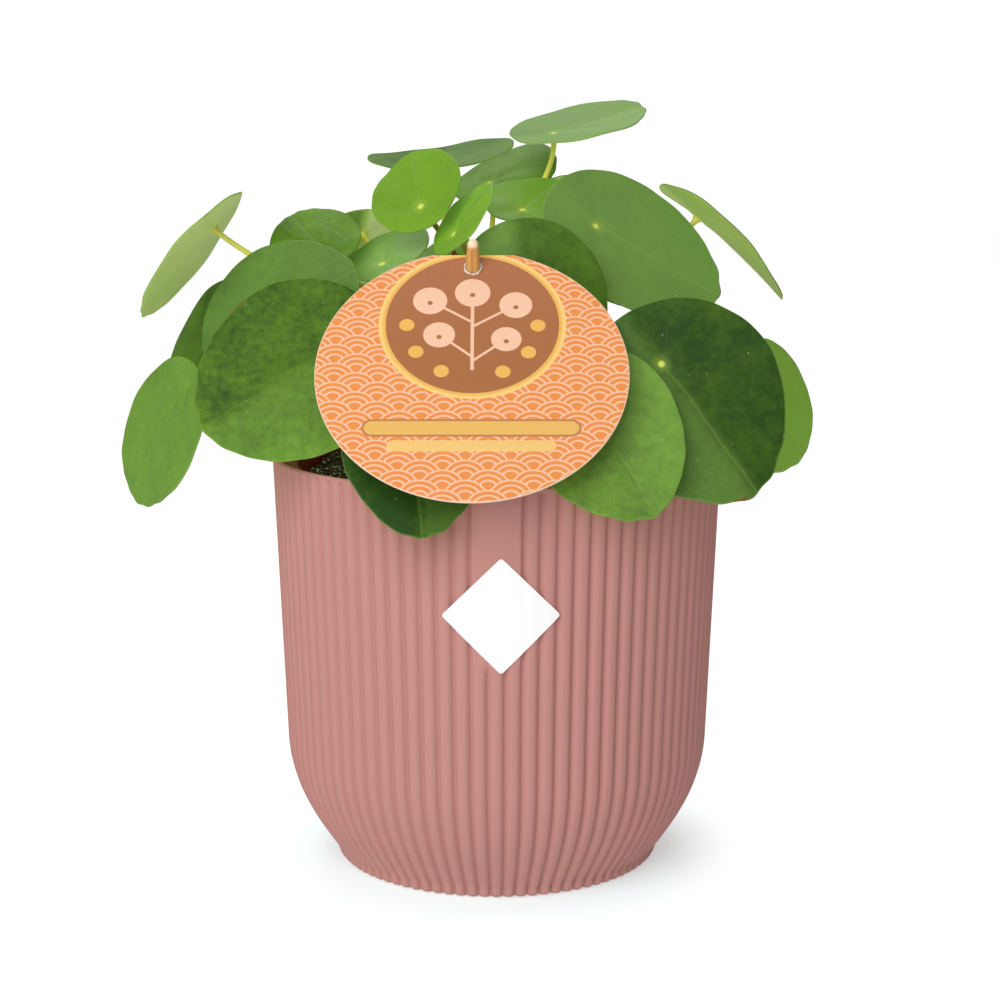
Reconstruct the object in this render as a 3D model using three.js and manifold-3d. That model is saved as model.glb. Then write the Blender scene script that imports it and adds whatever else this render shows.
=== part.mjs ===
// A young Chinese money plant in its nursery pot, stood inside a round ribbed planter, with a round
// plant card on a wooden pick and a plain diamond sticker on the planter's front.
// Millimetres, +Z up. The origin is the centre of the planter's flat underside, and -Y is the front.

import * as THREE from "three";
import Module from "manifold-3d";
import { mergeVertices } from "three/addons/utils/BufferGeometryUtils.js";

const wasm = await Module();
wasm.setup();

// Planter: a thin moulded wall with vertical folds, a rounded belly and a short upright foot.
const PLANTER = {
  height: 128.3,
  rimRadius: 70,
  shoulderHeight: 38,
  shoulderRadius: 66.4,
  neckHeight: 3,
  neckRadius: 51,
  footRadius: 50.2,
  floor: 3,
  wall: 1.7,
  lip: 1.5,
};
const RIBS = { count: 84, depth: 1.3 };
const STRIP = { ribsWide: 3, lowEnd: 78, runOut: 4 };

// Nursery pot: a plain tapered plastic pot with a rolled rim, standing on the planter's floor.
const NURSERY = { height: 124, topRadius: 63.4, footRadius: 45, wall: 1.1, floor: 1.4, rim: 1.5, rimHeight: 5 };

const SOIL = { level: 123.5, lumps: 1.1 };
const SEAT_GAP = 0.3;
const STEM_GAP = 0.35;

// Main stem: short, woody and upright, a little behind and left of the pot's middle.
const STEM = { x: -8, y: 10, low: 96, top: 176, lowRadius: 6.2, topRadius: 4.2 };

// Round card: it leans back, and the pick comes through a hole near its top edge.
const CARD = { x: -7, y: -57, z: 160, radius: 45, flatTop: 43.4, thickness: 0.8, faceUp: 44, holeUp: 38.6 };
const PICK = { radius: 2.1, tipRadius: 1.3, leanForward: 15, pastCard: 8.5, taper: 12, inSoil: 32, holeGap: 0.35 };

// Sticker: a square turned on its corner, following the planter's wall.
const STICKER = { z: 91, side: 24.4, corner: 1, thickness: 0.5, gap: 0.4, turn: 1.1, steps: 6 };

const BLADE = { thickness: 1, base: 0.3, taper: 0.05, point: 0.03, sides: 18, rings: [0.42, 0.76, 1] };
const PETIOLE = { radius: 1.15, sides: 5, steps: 6 };

// Leaves. spot is where the leaf stalk meets the blade. faces is the compass turn (0 is the front,
// 90 the right) and the height above level that the upper surface looks to, in degrees. turn is how
// far the tip is turned from straight downhill. size is length and width, and base the share of the
// length behind the spot. sag is how far the tip, the sides and the twisted corners drop. root is
// the stalk's height on the stem, and the rise and the extra turn that it leaves with.
const LEAVES = [
  { name: "leaf_top", spot: [18.1, 36.5, 226.9], faces: [-29, 75], turn: 143, size: [44.5, 41.5], sag: [-2, -1, 1], root: [160, 75, 30] },
  { name: "leaf_top_left", spot: [-20.5, 74, 216.8], faces: [-21, 75], turn: 194, size: [43, 51], base: 0.22, sag: [3, -1, -2], root: [148, 40] },
  { name: "leaf_top_middle", spot: [-3, 46, 210.5], faces: [-33, 58], turn: 162, size: [36, 35], sag: [1.5, 3, 0], root: [156, 70] },
  { name: "leaf_young_front", spot: [-23.5, -5, 205], faces: [-30, 38], turn: 207, size: [32, 30], sag: [1, -2, 0], root: [172, 85] },
  { name: "leaf_young_middle", spot: [-13.5, -12, 197], faces: [-64, 36], turn: 179, size: [27, 25], sag: [1, 0, 0], root: [173, 70] },
  { name: "leaf_upper_middle", spot: [8, 13, 203.4], faces: [-4, 63], turn: 148, size: [30, 30], sag: [0, 0, 0], root: [166, 70] },
  { name: "leaf_upper_right", spot: [31, 6.5, 198.5], faces: [31, 38], turn: 50, size: [60, 52.5], sag: [0, -1, 0], root: [160, 55] },
  { name: "leaf_right_edge_on", spot: [65, 28, 200.4], faces: [100, 50], turn: 0, size: [53, 42], sag: [2, -3, 4], root: [150, 25, 35] },
  { name: "leaf_behind_card_right", spot: [8, -17, 186], faces: [0, 8], turn: 15, size: [53, 46], sag: [2, 2.5, 0], root: [146, 60] },
  { name: "leaf_left_edge_on", spot: [-88.7, 5, 198], faces: [-99, 39], turn: 14, size: [48, 45], sag: [1, 0, 2], root: [150, 35, -10] },
  { name: "leaf_left_small", spot: [-51.5, -5, 190], faces: [-13, 50], turn: 222, size: [30, 29], base: 0.15, sag: [1, 2, -1], root: [154, 60] },
  { name: "leaf_left_turned_away", spot: [-43, 20, 195], faces: [-150, 30], turn: 0, size: [32, 32], sag: [1, 1, 0], root: [156, 65] },
  { name: "leaf_left_inner", spot: [-35.5, -2, 187.5], faces: [-36, 58], turn: 190, size: [30, 25.5], sag: [1, 0, 0], root: [164, 45, -15] },
  { name: "leaf_left_upper", spot: [-77, -10, 165], faces: [-33, 23], turn: 127, size: [54, 51], sag: [3, 0, 1], root: [138, 45] },
  { name: "leaf_left_shaded", spot: [-89, 12, 166], faces: [-57, 24], turn: -27, size: [52, 48], sag: [2, 2, 0], root: [144, 45] },
  { name: "leaf_front_left", spot: [-49, -37, 164.5], faces: [-3, 28], turn: -56, size: [60, 56], sag: [3, 0, 0.5], root: [140, 50] },
  { name: "leaf_left_low", spot: [-95, -15, 151.3], faces: [-52, 20], turn: -25, size: [47, 44.5], base: 0.14, sag: [2, 0, -1], root: [132, 30] },
  { name: "leaf_front_hanging", spot: [-23.5, -60, 147.5], faces: [3, 38], turn: 2, size: [49, 42], sag: [2.5, 1, 0], root: [130, 45] },
  { name: "leaf_front_right_hanging", spot: [24.5, -56, 153], faces: [4, 32], turn: 28, size: [56, 47], sag: [2.5, 1, -1], root: [130, 10, -10] },
  { name: "leaf_front_right", spot: [48, -45, 161], faces: [3, 24], turn: 35, size: [61.5, 58], sag: [3, 0, -1], root: [138, 12] },
  { name: "leaf_right_low", spot: [81, -5, 149.2], faces: [42, 10], turn: 40, size: [42.5, 42], sag: [1.5, 3, 0.5], root: [136, 40] },
  { name: "leaf_back_left_high", spot: [-50, 45, 186], faces: [-145, 50], turn: 10, size: [46, 43], sag: [3, 2, 0], root: [150, 60] },
  { name: "leaf_back_left", spot: [-72, 45, 160], faces: [-125, 30], turn: -10, size: [52, 48], sag: [3, 2, 0], root: [138, 45] },
  { name: "leaf_back", spot: [-12, 76, 172], faces: [178, 32], turn: 8, size: [56, 52], sag: [3, 2, 0], root: [138, 45] },
  { name: "leaf_back_low_left", spot: [-44, 74, 142], faces: [-155, 24], turn: -12, size: [50, 47], sag: [4, 2, 0], root: [130, 40] },
  { name: "leaf_back_right_high", spot: [29, 57, 204], faces: [150, 45], turn: -10, size: [44, 42], sag: [2, 2, 0], root: [152, 60] },
  { name: "leaf_back_right", spot: [72, 44, 156], faces: [118, 30], turn: 14, size: [54, 50], sag: [3, 2, 0], root: [140, 40] },
  { name: "leaf_back_low_right", spot: [32, 80, 146], faces: [162, 20], turn: 10, size: [50, 46], sag: [4, 2, 0], root: [132, 40] },
  { name: "leaf_inner_right", spot: [33, 21.5, 187.2], faces: [20, 40], turn: 20, size: [26, 19], sag: [1, 1, 0], root: [158, 60] },
  { name: "leaf_inner_middle", spot: [-16, 22, 183], faces: [-5, 55], turn: 170, size: [26, 24], sag: [1, 1, 0], root: [168, 50] },
];

const up = new THREE.Vector3(0, 0, 1);
const radians = THREE.MathUtils.degToRad;

// A compass turn and a height above level, as a direction.
function direction(turn, height) {
  const [t, h] = [radians(turn), radians(height)];
  return new THREE.Vector3(Math.cos(h) * Math.sin(t), -Math.cos(h) * Math.cos(t), Math.sin(h));
}

// Closed three.js geometry as a solid that can be joined and cut.
function solidOf(geometry) {
  const bare = new THREE.BufferGeometry().setAttribute("position", geometry.getAttribute("position"));
  bare.setIndex(geometry.index);
  const merged = mergeVertices(bare, 1e-4);
  const triVerts = new Uint32Array(merged.index.array);
  return new wasm.Manifold(new wasm.Mesh({ numProp: 3, vertProperties: merged.attributes.position.array, triVerts }));
}

function geometryOf(solid) {
  const mesh = solid.getMesh();
  const positions = new Float32Array(mesh.numVert * 3);
  for (let i = 0; i < mesh.numVert; i++) {
    positions.set(mesh.vertProperties.subarray(i * mesh.numProp, i * mesh.numProp + 3), i * 3);
  }
  const geometry = new THREE.BufferGeometry().setAttribute("position", new THREE.BufferAttribute(positions, 3));
  geometry.setIndex(new THREE.BufferAttribute(mesh.triVerts, 1));
  const faceted = geometry.toNonIndexed();
  faceted.computeVertexNormals();
  return faceted;
}

// A closed body from rings of points that run anticlockwise seen from above, lowest ring first,
// with a middle point to close each end.
function ringSolid(rings, lowMiddle, topMiddle) {
  const points = [];
  const faces = [];
  const around = rings[0].length;
  rings.forEach((ring) => ring.forEach((p) => points.push(...p)));
  points.push(...lowMiddle, ...topMiddle);
  const low = rings.length * around;
  const lastRing = (rings.length - 1) * around;
  for (let i = 0; i < around; i++) {
    const next = (i + 1) % around;
    for (let r = 0; r < rings.length - 1; r++) {
      const [a, b] = [r * around + i, r * around + next];
      faces.push(a, b, b + around, a, b + around, a + around);
    }
    faces.push(low, next, i);
    faces.push(low + 1, lastRing + i, lastRing + next);
  }
  const geometry = new THREE.BufferGeometry();
  geometry.setAttribute("position", new THREE.BufferAttribute(new Float32Array(points), 3));
  geometry.setIndex(faces);
  return solidOf(geometry);
}

// A turned body from [radius, height] pairs, bottom first, closed on the axis.
function turnedSolid(profile, sides) {
  const outline = [[0, profile[0][1]], ...profile, [0, profile.at(-1)[1]]].map(([r, z]) => new THREE.Vector2(r, z));
  return solidOf(new THREE.LatheGeometry(outline, sides).rotateX(Math.PI / 2));
}

// The planter's outer line below the straight wall: foot, neck and rounded belly.
const belly = new THREE.CubicBezierCurve(
  new THREE.Vector2(PLANTER.neckRadius, PLANTER.neckHeight),
  new THREE.Vector2(PLANTER.neckRadius + 7.1, PLANTER.neckHeight + 9.7),
  new THREE.Vector2(PLANTER.shoulderRadius - 1, PLANTER.shoulderHeight - 15),
  new THREE.Vector2(PLANTER.shoulderRadius, PLANTER.shoulderHeight),
);

// Crest radius of the straight wall at a height.
function wallRadius(z) {
  const share = (z - PLANTER.shoulderHeight) / (PLANTER.height - PLANTER.shoulderHeight);
  return THREE.MathUtils.lerp(PLANTER.shoulderRadius, PLANTER.rimRadius, share);
}

// The planter's outer wall is a grid with a crest and a valley column for each rib. The valleys
// run out below the lip, and three ribs' width at the front is a smooth strip down to lowEnd.
function planterSolid() {
  const straight = [STRIP.lowEnd - STRIP.runOut, STRIP.lowEnd, PLANTER.height - PLANTER.lip - 1, PLANTER.height - PLANTER.lip];
  const rows = [
    { r: PLANTER.footRadius, z: 0, cut: 0.6 },
    { r: PLANTER.neckRadius, z: 1.2, cut: 0.8 },
    ...belly.getPoints(4).map((p) => ({ r: p.x, z: p.y, cut: 1 })),
    ...straight.map((z) => ({ r: wallRadius(z), z, cut: 1 })),
    { r: PLANTER.rimRadius, z: PLANTER.height, cut: 0 },
  ];
  rows.at(-2).cut = 0;
  const columns = RIBS.count * 2;
  const pitch = (2 * Math.PI) / RIBS.count;
  const rings = rows.map(({ r, z, cut }) =>
    Array.from({ length: columns }, (_, c) => {
      const turn = (c + 1) * (pitch / 2);
      const fromFront = Math.abs(Math.atan2(Math.sin(turn), Math.cos(turn)));
      const inStrip = z >= STRIP.lowEnd && fromFront < (STRIP.ribsWide / 2 - 0.25) * pitch;
      const depth = c % 2 === 0 && !inStrip ? RIBS.depth * cut : 0;
      return [(r - depth) * Math.sin(turn), -(r - depth) * Math.cos(turn), z];
    }),
  );
  const outer = ringSolid(rings, [0, 0, 0], [0, 0, PLANTER.height]);
  const inset = RIBS.depth + PLANTER.wall;
  const cavity = turnedSolid(
    [
      [PLANTER.neckRadius - inset, PLANTER.floor],
      ...belly.getPoints(4).slice(1).map((p) => [p.x - inset, p.y + 1.2]),
      [wallRadius(PLANTER.height - 6) - inset, PLANTER.height - 6],
      [PLANTER.rimRadius - PLANTER.wall, PLANTER.height - 1],
      [PLANTER.rimRadius - PLANTER.wall, PLANTER.height + 5],
    ],
    48,
  );
  return outer.subtract(cavity);
}

const nurseryFoot = PLANTER.floor + SEAT_GAP;

// Outer radius of the nursery pot's wall at a height.
function nurseryRadius(z) {
  return THREE.MathUtils.lerp(NURSERY.footRadius, NURSERY.topRadius, (z - nurseryFoot) / NURSERY.height);
}

function nurseryPotSolid() {
  const top = nurseryFoot + NURSERY.height;
  const rimLow = top - NURSERY.rimHeight;
  const outer = turnedSolid(
    [
      [NURSERY.footRadius, nurseryFoot],
      [nurseryRadius(rimLow), rimLow],
      [nurseryRadius(rimLow) + NURSERY.rim, rimLow + 0.6],
      [NURSERY.topRadius + NURSERY.rim, top],
    ],
    36,
  );
  const floor = nurseryFoot + NURSERY.floor;
  const cavity = turnedSolid(
    [
      [nurseryRadius(floor) - NURSERY.wall, floor],
      [NURSERY.topRadius - NURSERY.wall, top],
      [NURSERY.topRadius - NURSERY.wall, top + 5],
    ],
    36,
  );
  return outer.subtract(cavity);
}

// Where the soil's surface lies over a point: low lumps, a little higher round the stem.
function soilHeight(x, y) {
  const lumps = Math.sin(x * 0.21 + 1) * Math.cos(y * 0.17) + 0.6 * Math.sin(x * 0.09 - y * 0.23);
  const nearStem = Math.exp(-((x - STEM.x) ** 2 + (y - STEM.y) ** 2) / 500);
  return SOIL.level + SOIL.lumps * lumps * 0.6 + 1.5 * nearStem;
}

function soilSolid(standing) {
  const floor = nurseryFoot + NURSERY.floor + SEAT_GAP;
  const inset = NURSERY.wall + 2 * SEAT_GAP;
  const sides = 36;
  const ring = (radius, heightAt) =>
    Array.from({ length: sides }, (_, i) => {
      const turn = (i / sides) * 2 * Math.PI;
      const [x, y] = [radius * Math.cos(turn), radius * Math.sin(turn)];
      return [x, y, heightAt(x, y)];
    });
  const edge = nurseryRadius(SOIL.level) - inset;
  const rings = [
    ring(nurseryRadius(floor) - inset, () => floor),
    ...[1, 0.8, 0.55, 0.3].map((share) => ring(edge * share, (x, y) => soilHeight(x, y) - (share === 1 ? 1 : 0))),
  ];
  const body = ringSolid(rings, [0, 0, floor], [0, 0, soilHeight(0, 0)]);
  return standing.reduce((soil, hole) => soil.subtract(hole), body);
}

// The main stem: it tapers upwards in shallow knuckles where old leaf stalks have dropped.
function stemSolid(grow) {
  const knuckles = 9;
  const profile = Array.from({ length: knuckles + 1 }, (_, i) => {
    const share = i / knuckles;
    const knuckle = i % 2 === 0 ? 0.35 : -0.25;
    const radius = THREE.MathUtils.lerp(STEM.lowRadius, STEM.topRadius, share) + knuckle;
    return [radius + grow, THREE.MathUtils.lerp(STEM.low, STEM.top, share)];
  });
  profile[0][1] -= grow;
  profile.push([1.6 + grow, STEM.top + 4 + grow]);
  return turnedSolid(profile, 12).translate([STEM.x, STEM.y, 0]);
}

// The blade's outline about its spot, for an angle of 0 at the tip.
function bladeEdge(leaf, angle) {
  const [length, width] = leaf.size;
  const middle = length * (0.5 - (leaf.base ?? BLADE.base));
  const pointed = BLADE.point * length * Math.max(0, Math.cos(angle)) ** 6;
  const x = (width / 2) * Math.sin(angle) * (1 - BLADE.taper * Math.cos(angle));
  return [x, middle + (length / 2) * Math.cos(angle) + pointed];
}

// How far the blade's surface drops below the flat plane through its spot.
function bladeDrop(leaf, x, y) {
  const [length, width] = leaf.size;
  const [tip, side, twist] = leaf.sag;
  const across = x / (width / 2);
  const along = y / (length * (1 - BLADE.base));
  return tip * along ** 2 + side * across ** 2 + twist * across * along;
}

// The frame of a leaf: x across the blade, y towards its tip, z out of its upper surface.
function leafFrame(leaf) {
  const normal = direction(...leaf.faces);
  const downhill = up.clone().projectOnPlane(normal).normalize().negate();
  const tip = downhill.applyAxisAngle(normal, radians(leaf.turn));
  const across = tip.clone().cross(normal);
  return new THREE.Matrix4().makeBasis(across, tip, normal).setPosition(...leaf.spot);
}

function bladeSolid(leaf) {
  const layer = (share, lift) =>
    Array.from({ length: BLADE.sides }, (_, i) => {
      const [ex, ey] = bladeEdge(leaf, -(i / BLADE.sides) * 2 * Math.PI);
      return [ex * share, ey * share, lift - bladeDrop(leaf, ex * share, ey * share)];
    });
  const under = BLADE.rings.map((share) => layer(share, -BLADE.thickness));
  const over = BLADE.rings.map((share) => layer(share, 0)).reverse();
  const solid = ringSolid([...under, ...over], [0, 0, -BLADE.thickness], [0, 0, 0]);
  return solid.transform(leafFrame(leaf).elements);
}

// The leaf stalk's line: out of the stem at its rise, and square on to the blade's underside.
function petioleCurve(leaf) {
  const [rootHeight, rise, swerve = 0] = leaf.root;
  const root = new THREE.Vector3(STEM.x, STEM.y, rootHeight);
  const inBlade = direction(...leaf.faces).multiplyScalar(-BLADE.thickness / 2);
  const spot = new THREE.Vector3(...leaf.spot).add(inBlade);
  const reach = spot.distanceTo(root);
  const turn = THREE.MathUtils.radToDeg(Math.atan2(spot.x - root.x, -(spot.y - root.y)));
  const leaving = root.clone().addScaledVector(direction(turn + swerve, rise), reach * 0.4);
  const arriving = spot.clone().addScaledVector(direction(...leaf.faces), -reach * 0.25);
  return new THREE.CubicBezierCurve3(root, leaving, arriving, spot);
}

function leafSolid(leaf, stemRoom) {
  const section = new THREE.Shape(
    Array.from({ length: PETIOLE.sides }, (_, i) => {
      const turn = (i / PETIOLE.sides) * 2 * Math.PI;
      return new THREE.Vector2(PETIOLE.radius * Math.cos(turn), PETIOLE.radius * Math.sin(turn));
    }),
  );
  const options = { steps: PETIOLE.steps, extrudePath: petioleCurve(leaf), bevelEnabled: false };
  const petiole = solidOf(new THREE.ExtrudeGeometry(section, options));
  return petiole.subtract(stemRoom).add(bladeSolid(leaf));
}

// The card's frame: x to the right, y up the card, z out of its printed face.
const cardFrame = new THREE.Matrix4()
  .makeBasis(
    new THREE.Vector3(1, 0, 0),
    new THREE.Vector3(0, Math.sin(radians(CARD.faceUp)), Math.cos(radians(CARD.faceUp))),
    direction(0, CARD.faceUp),
  )
  .setPosition(CARD.x, CARD.y, CARD.z);

function cardSolid(pickRoom) {
  const half = Math.acos(CARD.flatTop / CARD.radius);
  const outline = new THREE.Shape().absarc(0, 0, CARD.radius, Math.PI / 2 + half, Math.PI / 2 - half + 2 * Math.PI, false);
  const options = { depth: CARD.thickness, bevelEnabled: false, curveSegments: 40 };
  const disc = solidOf(new THREE.ExtrudeGeometry(outline, options).translate(0, 0, -CARD.thickness));
  return disc.transform(cardFrame.elements).subtract(pickRoom);
}

// The pick: a round stick with a tapered top, from deep in the soil up through the card's hole.
function pickSolid(grow) {
  const hole = new THREE.Vector3(0, CARD.holeUp, 0).applyMatrix4(cardFrame);
  const lean = radians(PICK.leanForward);
  const toSoil = (hole.z - SOIL.level) / Math.cos(lean);
  const low = -(toSoil + PICK.inSoil);
  const stick = turnedSolid(
    [
      [PICK.tipRadius + grow, low - grow],
      [PICK.radius + grow, low + 12],
      [PICK.radius + grow, PICK.pastCard - PICK.taper],
      [PICK.tipRadius + grow, PICK.pastCard + grow],
    ],
    12,
  );
  return stick.rotate([PICK.leanForward, 0, 0]).translate(hole.toArray());
}

// A square with round corners about its middle, its sides in pieces short enough to wrap.
function stickerOutline() {
  const { side, corner, steps } = STICKER;
  const cut = side / 2 - corner;
  return [[1, -1], [1, 1], [-1, 1], [-1, -1]].flatMap(([a, b], k) => {
    const round = [0, 1, 2, 3].map((j) => {
      const turn = (k - 1 + j / 3) * (Math.PI / 2);
      return [cut * a + corner * Math.cos(turn), cut * b + corner * Math.sin(turn)];
    });
    const along = [-Math.sin(k * (Math.PI / 2)), Math.cos(k * (Math.PI / 2))];
    const straight = Array.from({ length: steps - 1 }, (_, j) => {
      const travel = (2 * cut * (j + 1)) / steps;
      return [round[3][0] + along[0] * travel, round[3][1] + along[1] * travel];
    });
    return [...round, ...straight];
  });
}

// The sticker: a square on its corner, wrapped round the planter just clear of the rib crests.
function stickerSolid() {
  const place = (u, v, out) => {
    const [s, t] = [(u - v) * Math.SQRT1_2, (u + v) * Math.SQRT1_2];
    const radius = wallRadius(STICKER.z + t) + STICKER.gap + out;
    const turn = radians(STICKER.turn) + s / wallRadius(STICKER.z);
    return [radius * Math.sin(turn), -radius * Math.cos(turn), STICKER.z + t];
  };
  const outline = stickerOutline();
  const layer = (share, out) => outline.map(([u, v]) => place(u * share, v * share, out));
  const shares = [0.35, 0.7, 1];
  const rings = [...shares.map((s) => layer(s, 0)), ...shares.map((s) => layer(s, STICKER.thickness)).reverse()];
  return ringSolid(rings, place(0, 0, 0), place(0, 0, STICKER.thickness));
}

const MATERIALS = {
  planter: { color: 0xcd948c, roughness: 0.55 },
  nursery: { color: 0x5a1510, roughness: 0.4 },
  soil: { color: 0x1d1511, roughness: 1 },
  stem: { color: 0x7a4a26, roughness: 0.8 },
  leaf: { color: 0x3f7a26, roughness: 0.45 },
  card: { color: 0xf7a35a, roughness: 0.4 },
  pick: { color: 0xd9a860, roughness: 0.7 },
  sticker: { color: 0xffffff, roughness: 0.4 },
};

const group = new THREE.Group();

function addPiece(name, solid, look) {
  const mesh = new THREE.Mesh(geometryOf(solid), new THREE.MeshStandardMaterial({ ...MATERIALS[look], metalness: 0 }));
  mesh.name = name;
  group.add(mesh);
}

const stemRoom = stemSolid(STEM_GAP);
addPiece("planter", planterSolid(), "planter");
addPiece("nursery_pot", nurseryPotSolid(), "nursery");
addPiece("soil", soilSolid([stemRoom, pickSolid(STEM_GAP)]), "soil");
addPiece("main_stem", stemSolid(0), "stem");
LEAVES.forEach((leaf) => addPiece(leaf.name, leafSolid(leaf, stemRoom), "leaf"));
addPiece("plant_card", cardSolid(pickSolid(PICK.holeGap)), "card");
addPiece("card_pick", pickSolid(0), "pick");
addPiece("sticker", stickerSolid(), "sticker");

export default group;
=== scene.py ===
"""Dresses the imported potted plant: ribbed planter, nursery pot, soil, woody stem, round leaves on
long stalks, plant card on its pick and bare sticker. Points are in millimetres until a mesh is made."""

import math

import bpy
import numpy as np
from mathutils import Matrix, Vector, noise


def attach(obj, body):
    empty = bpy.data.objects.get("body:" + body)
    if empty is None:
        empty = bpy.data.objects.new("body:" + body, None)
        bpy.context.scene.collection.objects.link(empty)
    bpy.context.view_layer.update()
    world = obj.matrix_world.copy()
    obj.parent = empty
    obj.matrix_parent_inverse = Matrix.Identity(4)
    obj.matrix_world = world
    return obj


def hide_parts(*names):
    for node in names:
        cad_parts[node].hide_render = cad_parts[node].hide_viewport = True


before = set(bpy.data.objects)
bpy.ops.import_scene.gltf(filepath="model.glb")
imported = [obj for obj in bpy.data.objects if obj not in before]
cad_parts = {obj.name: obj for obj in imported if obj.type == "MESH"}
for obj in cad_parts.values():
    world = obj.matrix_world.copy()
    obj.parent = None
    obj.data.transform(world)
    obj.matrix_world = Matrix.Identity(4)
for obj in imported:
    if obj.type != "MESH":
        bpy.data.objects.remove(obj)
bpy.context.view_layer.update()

bl_info = {
    "name": "Potted Money Plant",
    "version": (1, 0, 0),
    "blender": (4, 5, 0),
    "location": "3D View > Sidebar > Money Plant",
    "description": "Builds a round-leaved potted plant with its planter, card and studio",
    "category": "Add Mesh",
}

MM = 0.001
TURN = 2 * math.pi

# The planter's outer line in millimetres: foot, neck, rounded belly and straight wall.
PLANTER_HEIGHT = 128.3
RIM_RADIUS = 70
SHOULDER = (66.4, 38)
NECK = (51, 3)
FOOT_RADIUS = 50.2
PLANTER_FLOOR = 3
WALL = 1.7
STRIP_LOW_END = 78
RIB_END = 127.8
RIB_COUNT = 84
RIB_DEPTH = 1.6
POINTS_PER_RIB = 12
RIBBED_WALL = 3
STRIP_RIBS = 3

NURSERY_FOOT = 3.3
NURSERY_HEIGHT = 124
NURSERY_RADII = (45, 63.4)
NURSERY_WALL = 1.1
NURSERY_FLOOR = 1.4
NURSERY_RIM = 5
SOIL_LEVEL = 123.5
SOIL_GAP = 0.3
SOIL_DIP = (-60, 5)

STEM_SPOT = (-8, 10)
STEM_HEIGHTS = (96, 176)
STEM_RADII = (6.2, 4.2)
GOLDEN_TURN = 137.5

CARD_MIDDLE = (-7, -57, 160)
CARD_RADIUS = 45
CARD_FLAT = 43.4
CARD_THICKNESS = 0.55
CARD_BEVEL = 0.08
CARD_BEVEL_IN = 0.06
CARD_FACES_UP = 44
PANEL_UP = 17.5
PANEL_RADIUS = 25.15
PANEL_RING_RADIUS = 27.2
PANEL_BLUR = 0.1
PRINT_BLUR = 0.08
HOLE_UP = 38.6
HOLE_RADIUS = 2.4
PICK_RADIUS = 2.28
PICK_TIP = 1.3
PICK_LEAN = 15
PICK_PAST_CARD = 8.5
PICK_IN_SOIL = 32

STICKER_HEIGHT = 91
STICKER_SIDE = 24.4
STICKER_CORNER = 0.9
STICKER_THICKNESS = 0.22
STICKER_TURN = 1.1
STICKER_CLEAR = 0.12
STICKER_SETTLE = 0.05
STRIP_HALF_TURN = 0.105

BLADE_BASE = 0.3
BLADE_TAPER = 0.05
BLADE_POINT = 0.03
BLADE_DIMPLE = 0.7
BLADE_VEINS = 13
# Strength of the painted glow given off by a blade's underside.
PAINTED_GLOW_THROUGH_BLADE = 0.2
# Limit of the painted light and shade across the midrib on a blade's upper side.
UPPER_PAINTED_LIGHT_HALVES = 0.15
STALK_RADIUS = 0.85

FLOOR_HALF = 4000
FLOOR_UP = -0.4
FLOOR_BOUNCE = 0.65
FLOOR_FADE = (48, 92)
CAMERA_PLACE = (1, -682, 233)
CAMERA_PITCH = 80
CAMERA_LENS = 79.2


class Leaf:
    """One leaf, placed as in the part's own source.

    spot is where the stalk meets the blade, faces the compass turn and height that the upper side
    looks to, turn the tip's turn from straight downhill, size its length and width, sag how far the
    tip, sides and twisted corners drop, and root the stalk's height on the stem, its rise and its
    swerve. tone runs from 0, dark, to 1, bright, and a low tone also paints the shade that some
    leaves sit in, mottle is how patchy it is, glaze how much painted grey sheen it has, halves how
    much painted light and sheen brighten and grey it on the left of its midrib seen with the tip
    down while painted shade darkens the right, ruddy how brown the stalk is, dot how clear the pale
    point over the stalk is and point how drawn out the tip.
    """

    def __init__(self, name, spot, faces, turn, size, sag, root, base=BLADE_BASE,
                 tone=0.5, mottle=0.3, painted_sheen=0.2, painted_light_halves=0, ruddy=0.2, dot=1, point=BLADE_POINT):
        self.name = name
        self.spot = np.array(spot, float)
        self.normal = direction(*faces)
        self.turn = math.radians(turn)
        self.length, self.width = size
        self.sag = sag
        self.root_height, self.rise, *swerve = root
        self.swerve = swerve[0] if swerve else 0
        self.base = base
        self.look = (tone, mottle, painted_sheen)
        self.painted_light_halves = painted_light_halves
        self.ruddy = ruddy
        self.dot = dot
        self.point = point
        self.seed = sum(ord(letter) for letter in name) % 97


def direction(turn, height):
    """A compass turn (0 is the front, 90 the right) and a height above level, as a direction."""
    t, h = math.radians(turn), math.radians(height)
    return np.array([math.cos(h) * math.sin(t), -math.cos(h) * math.cos(t), math.sin(h)])


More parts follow.
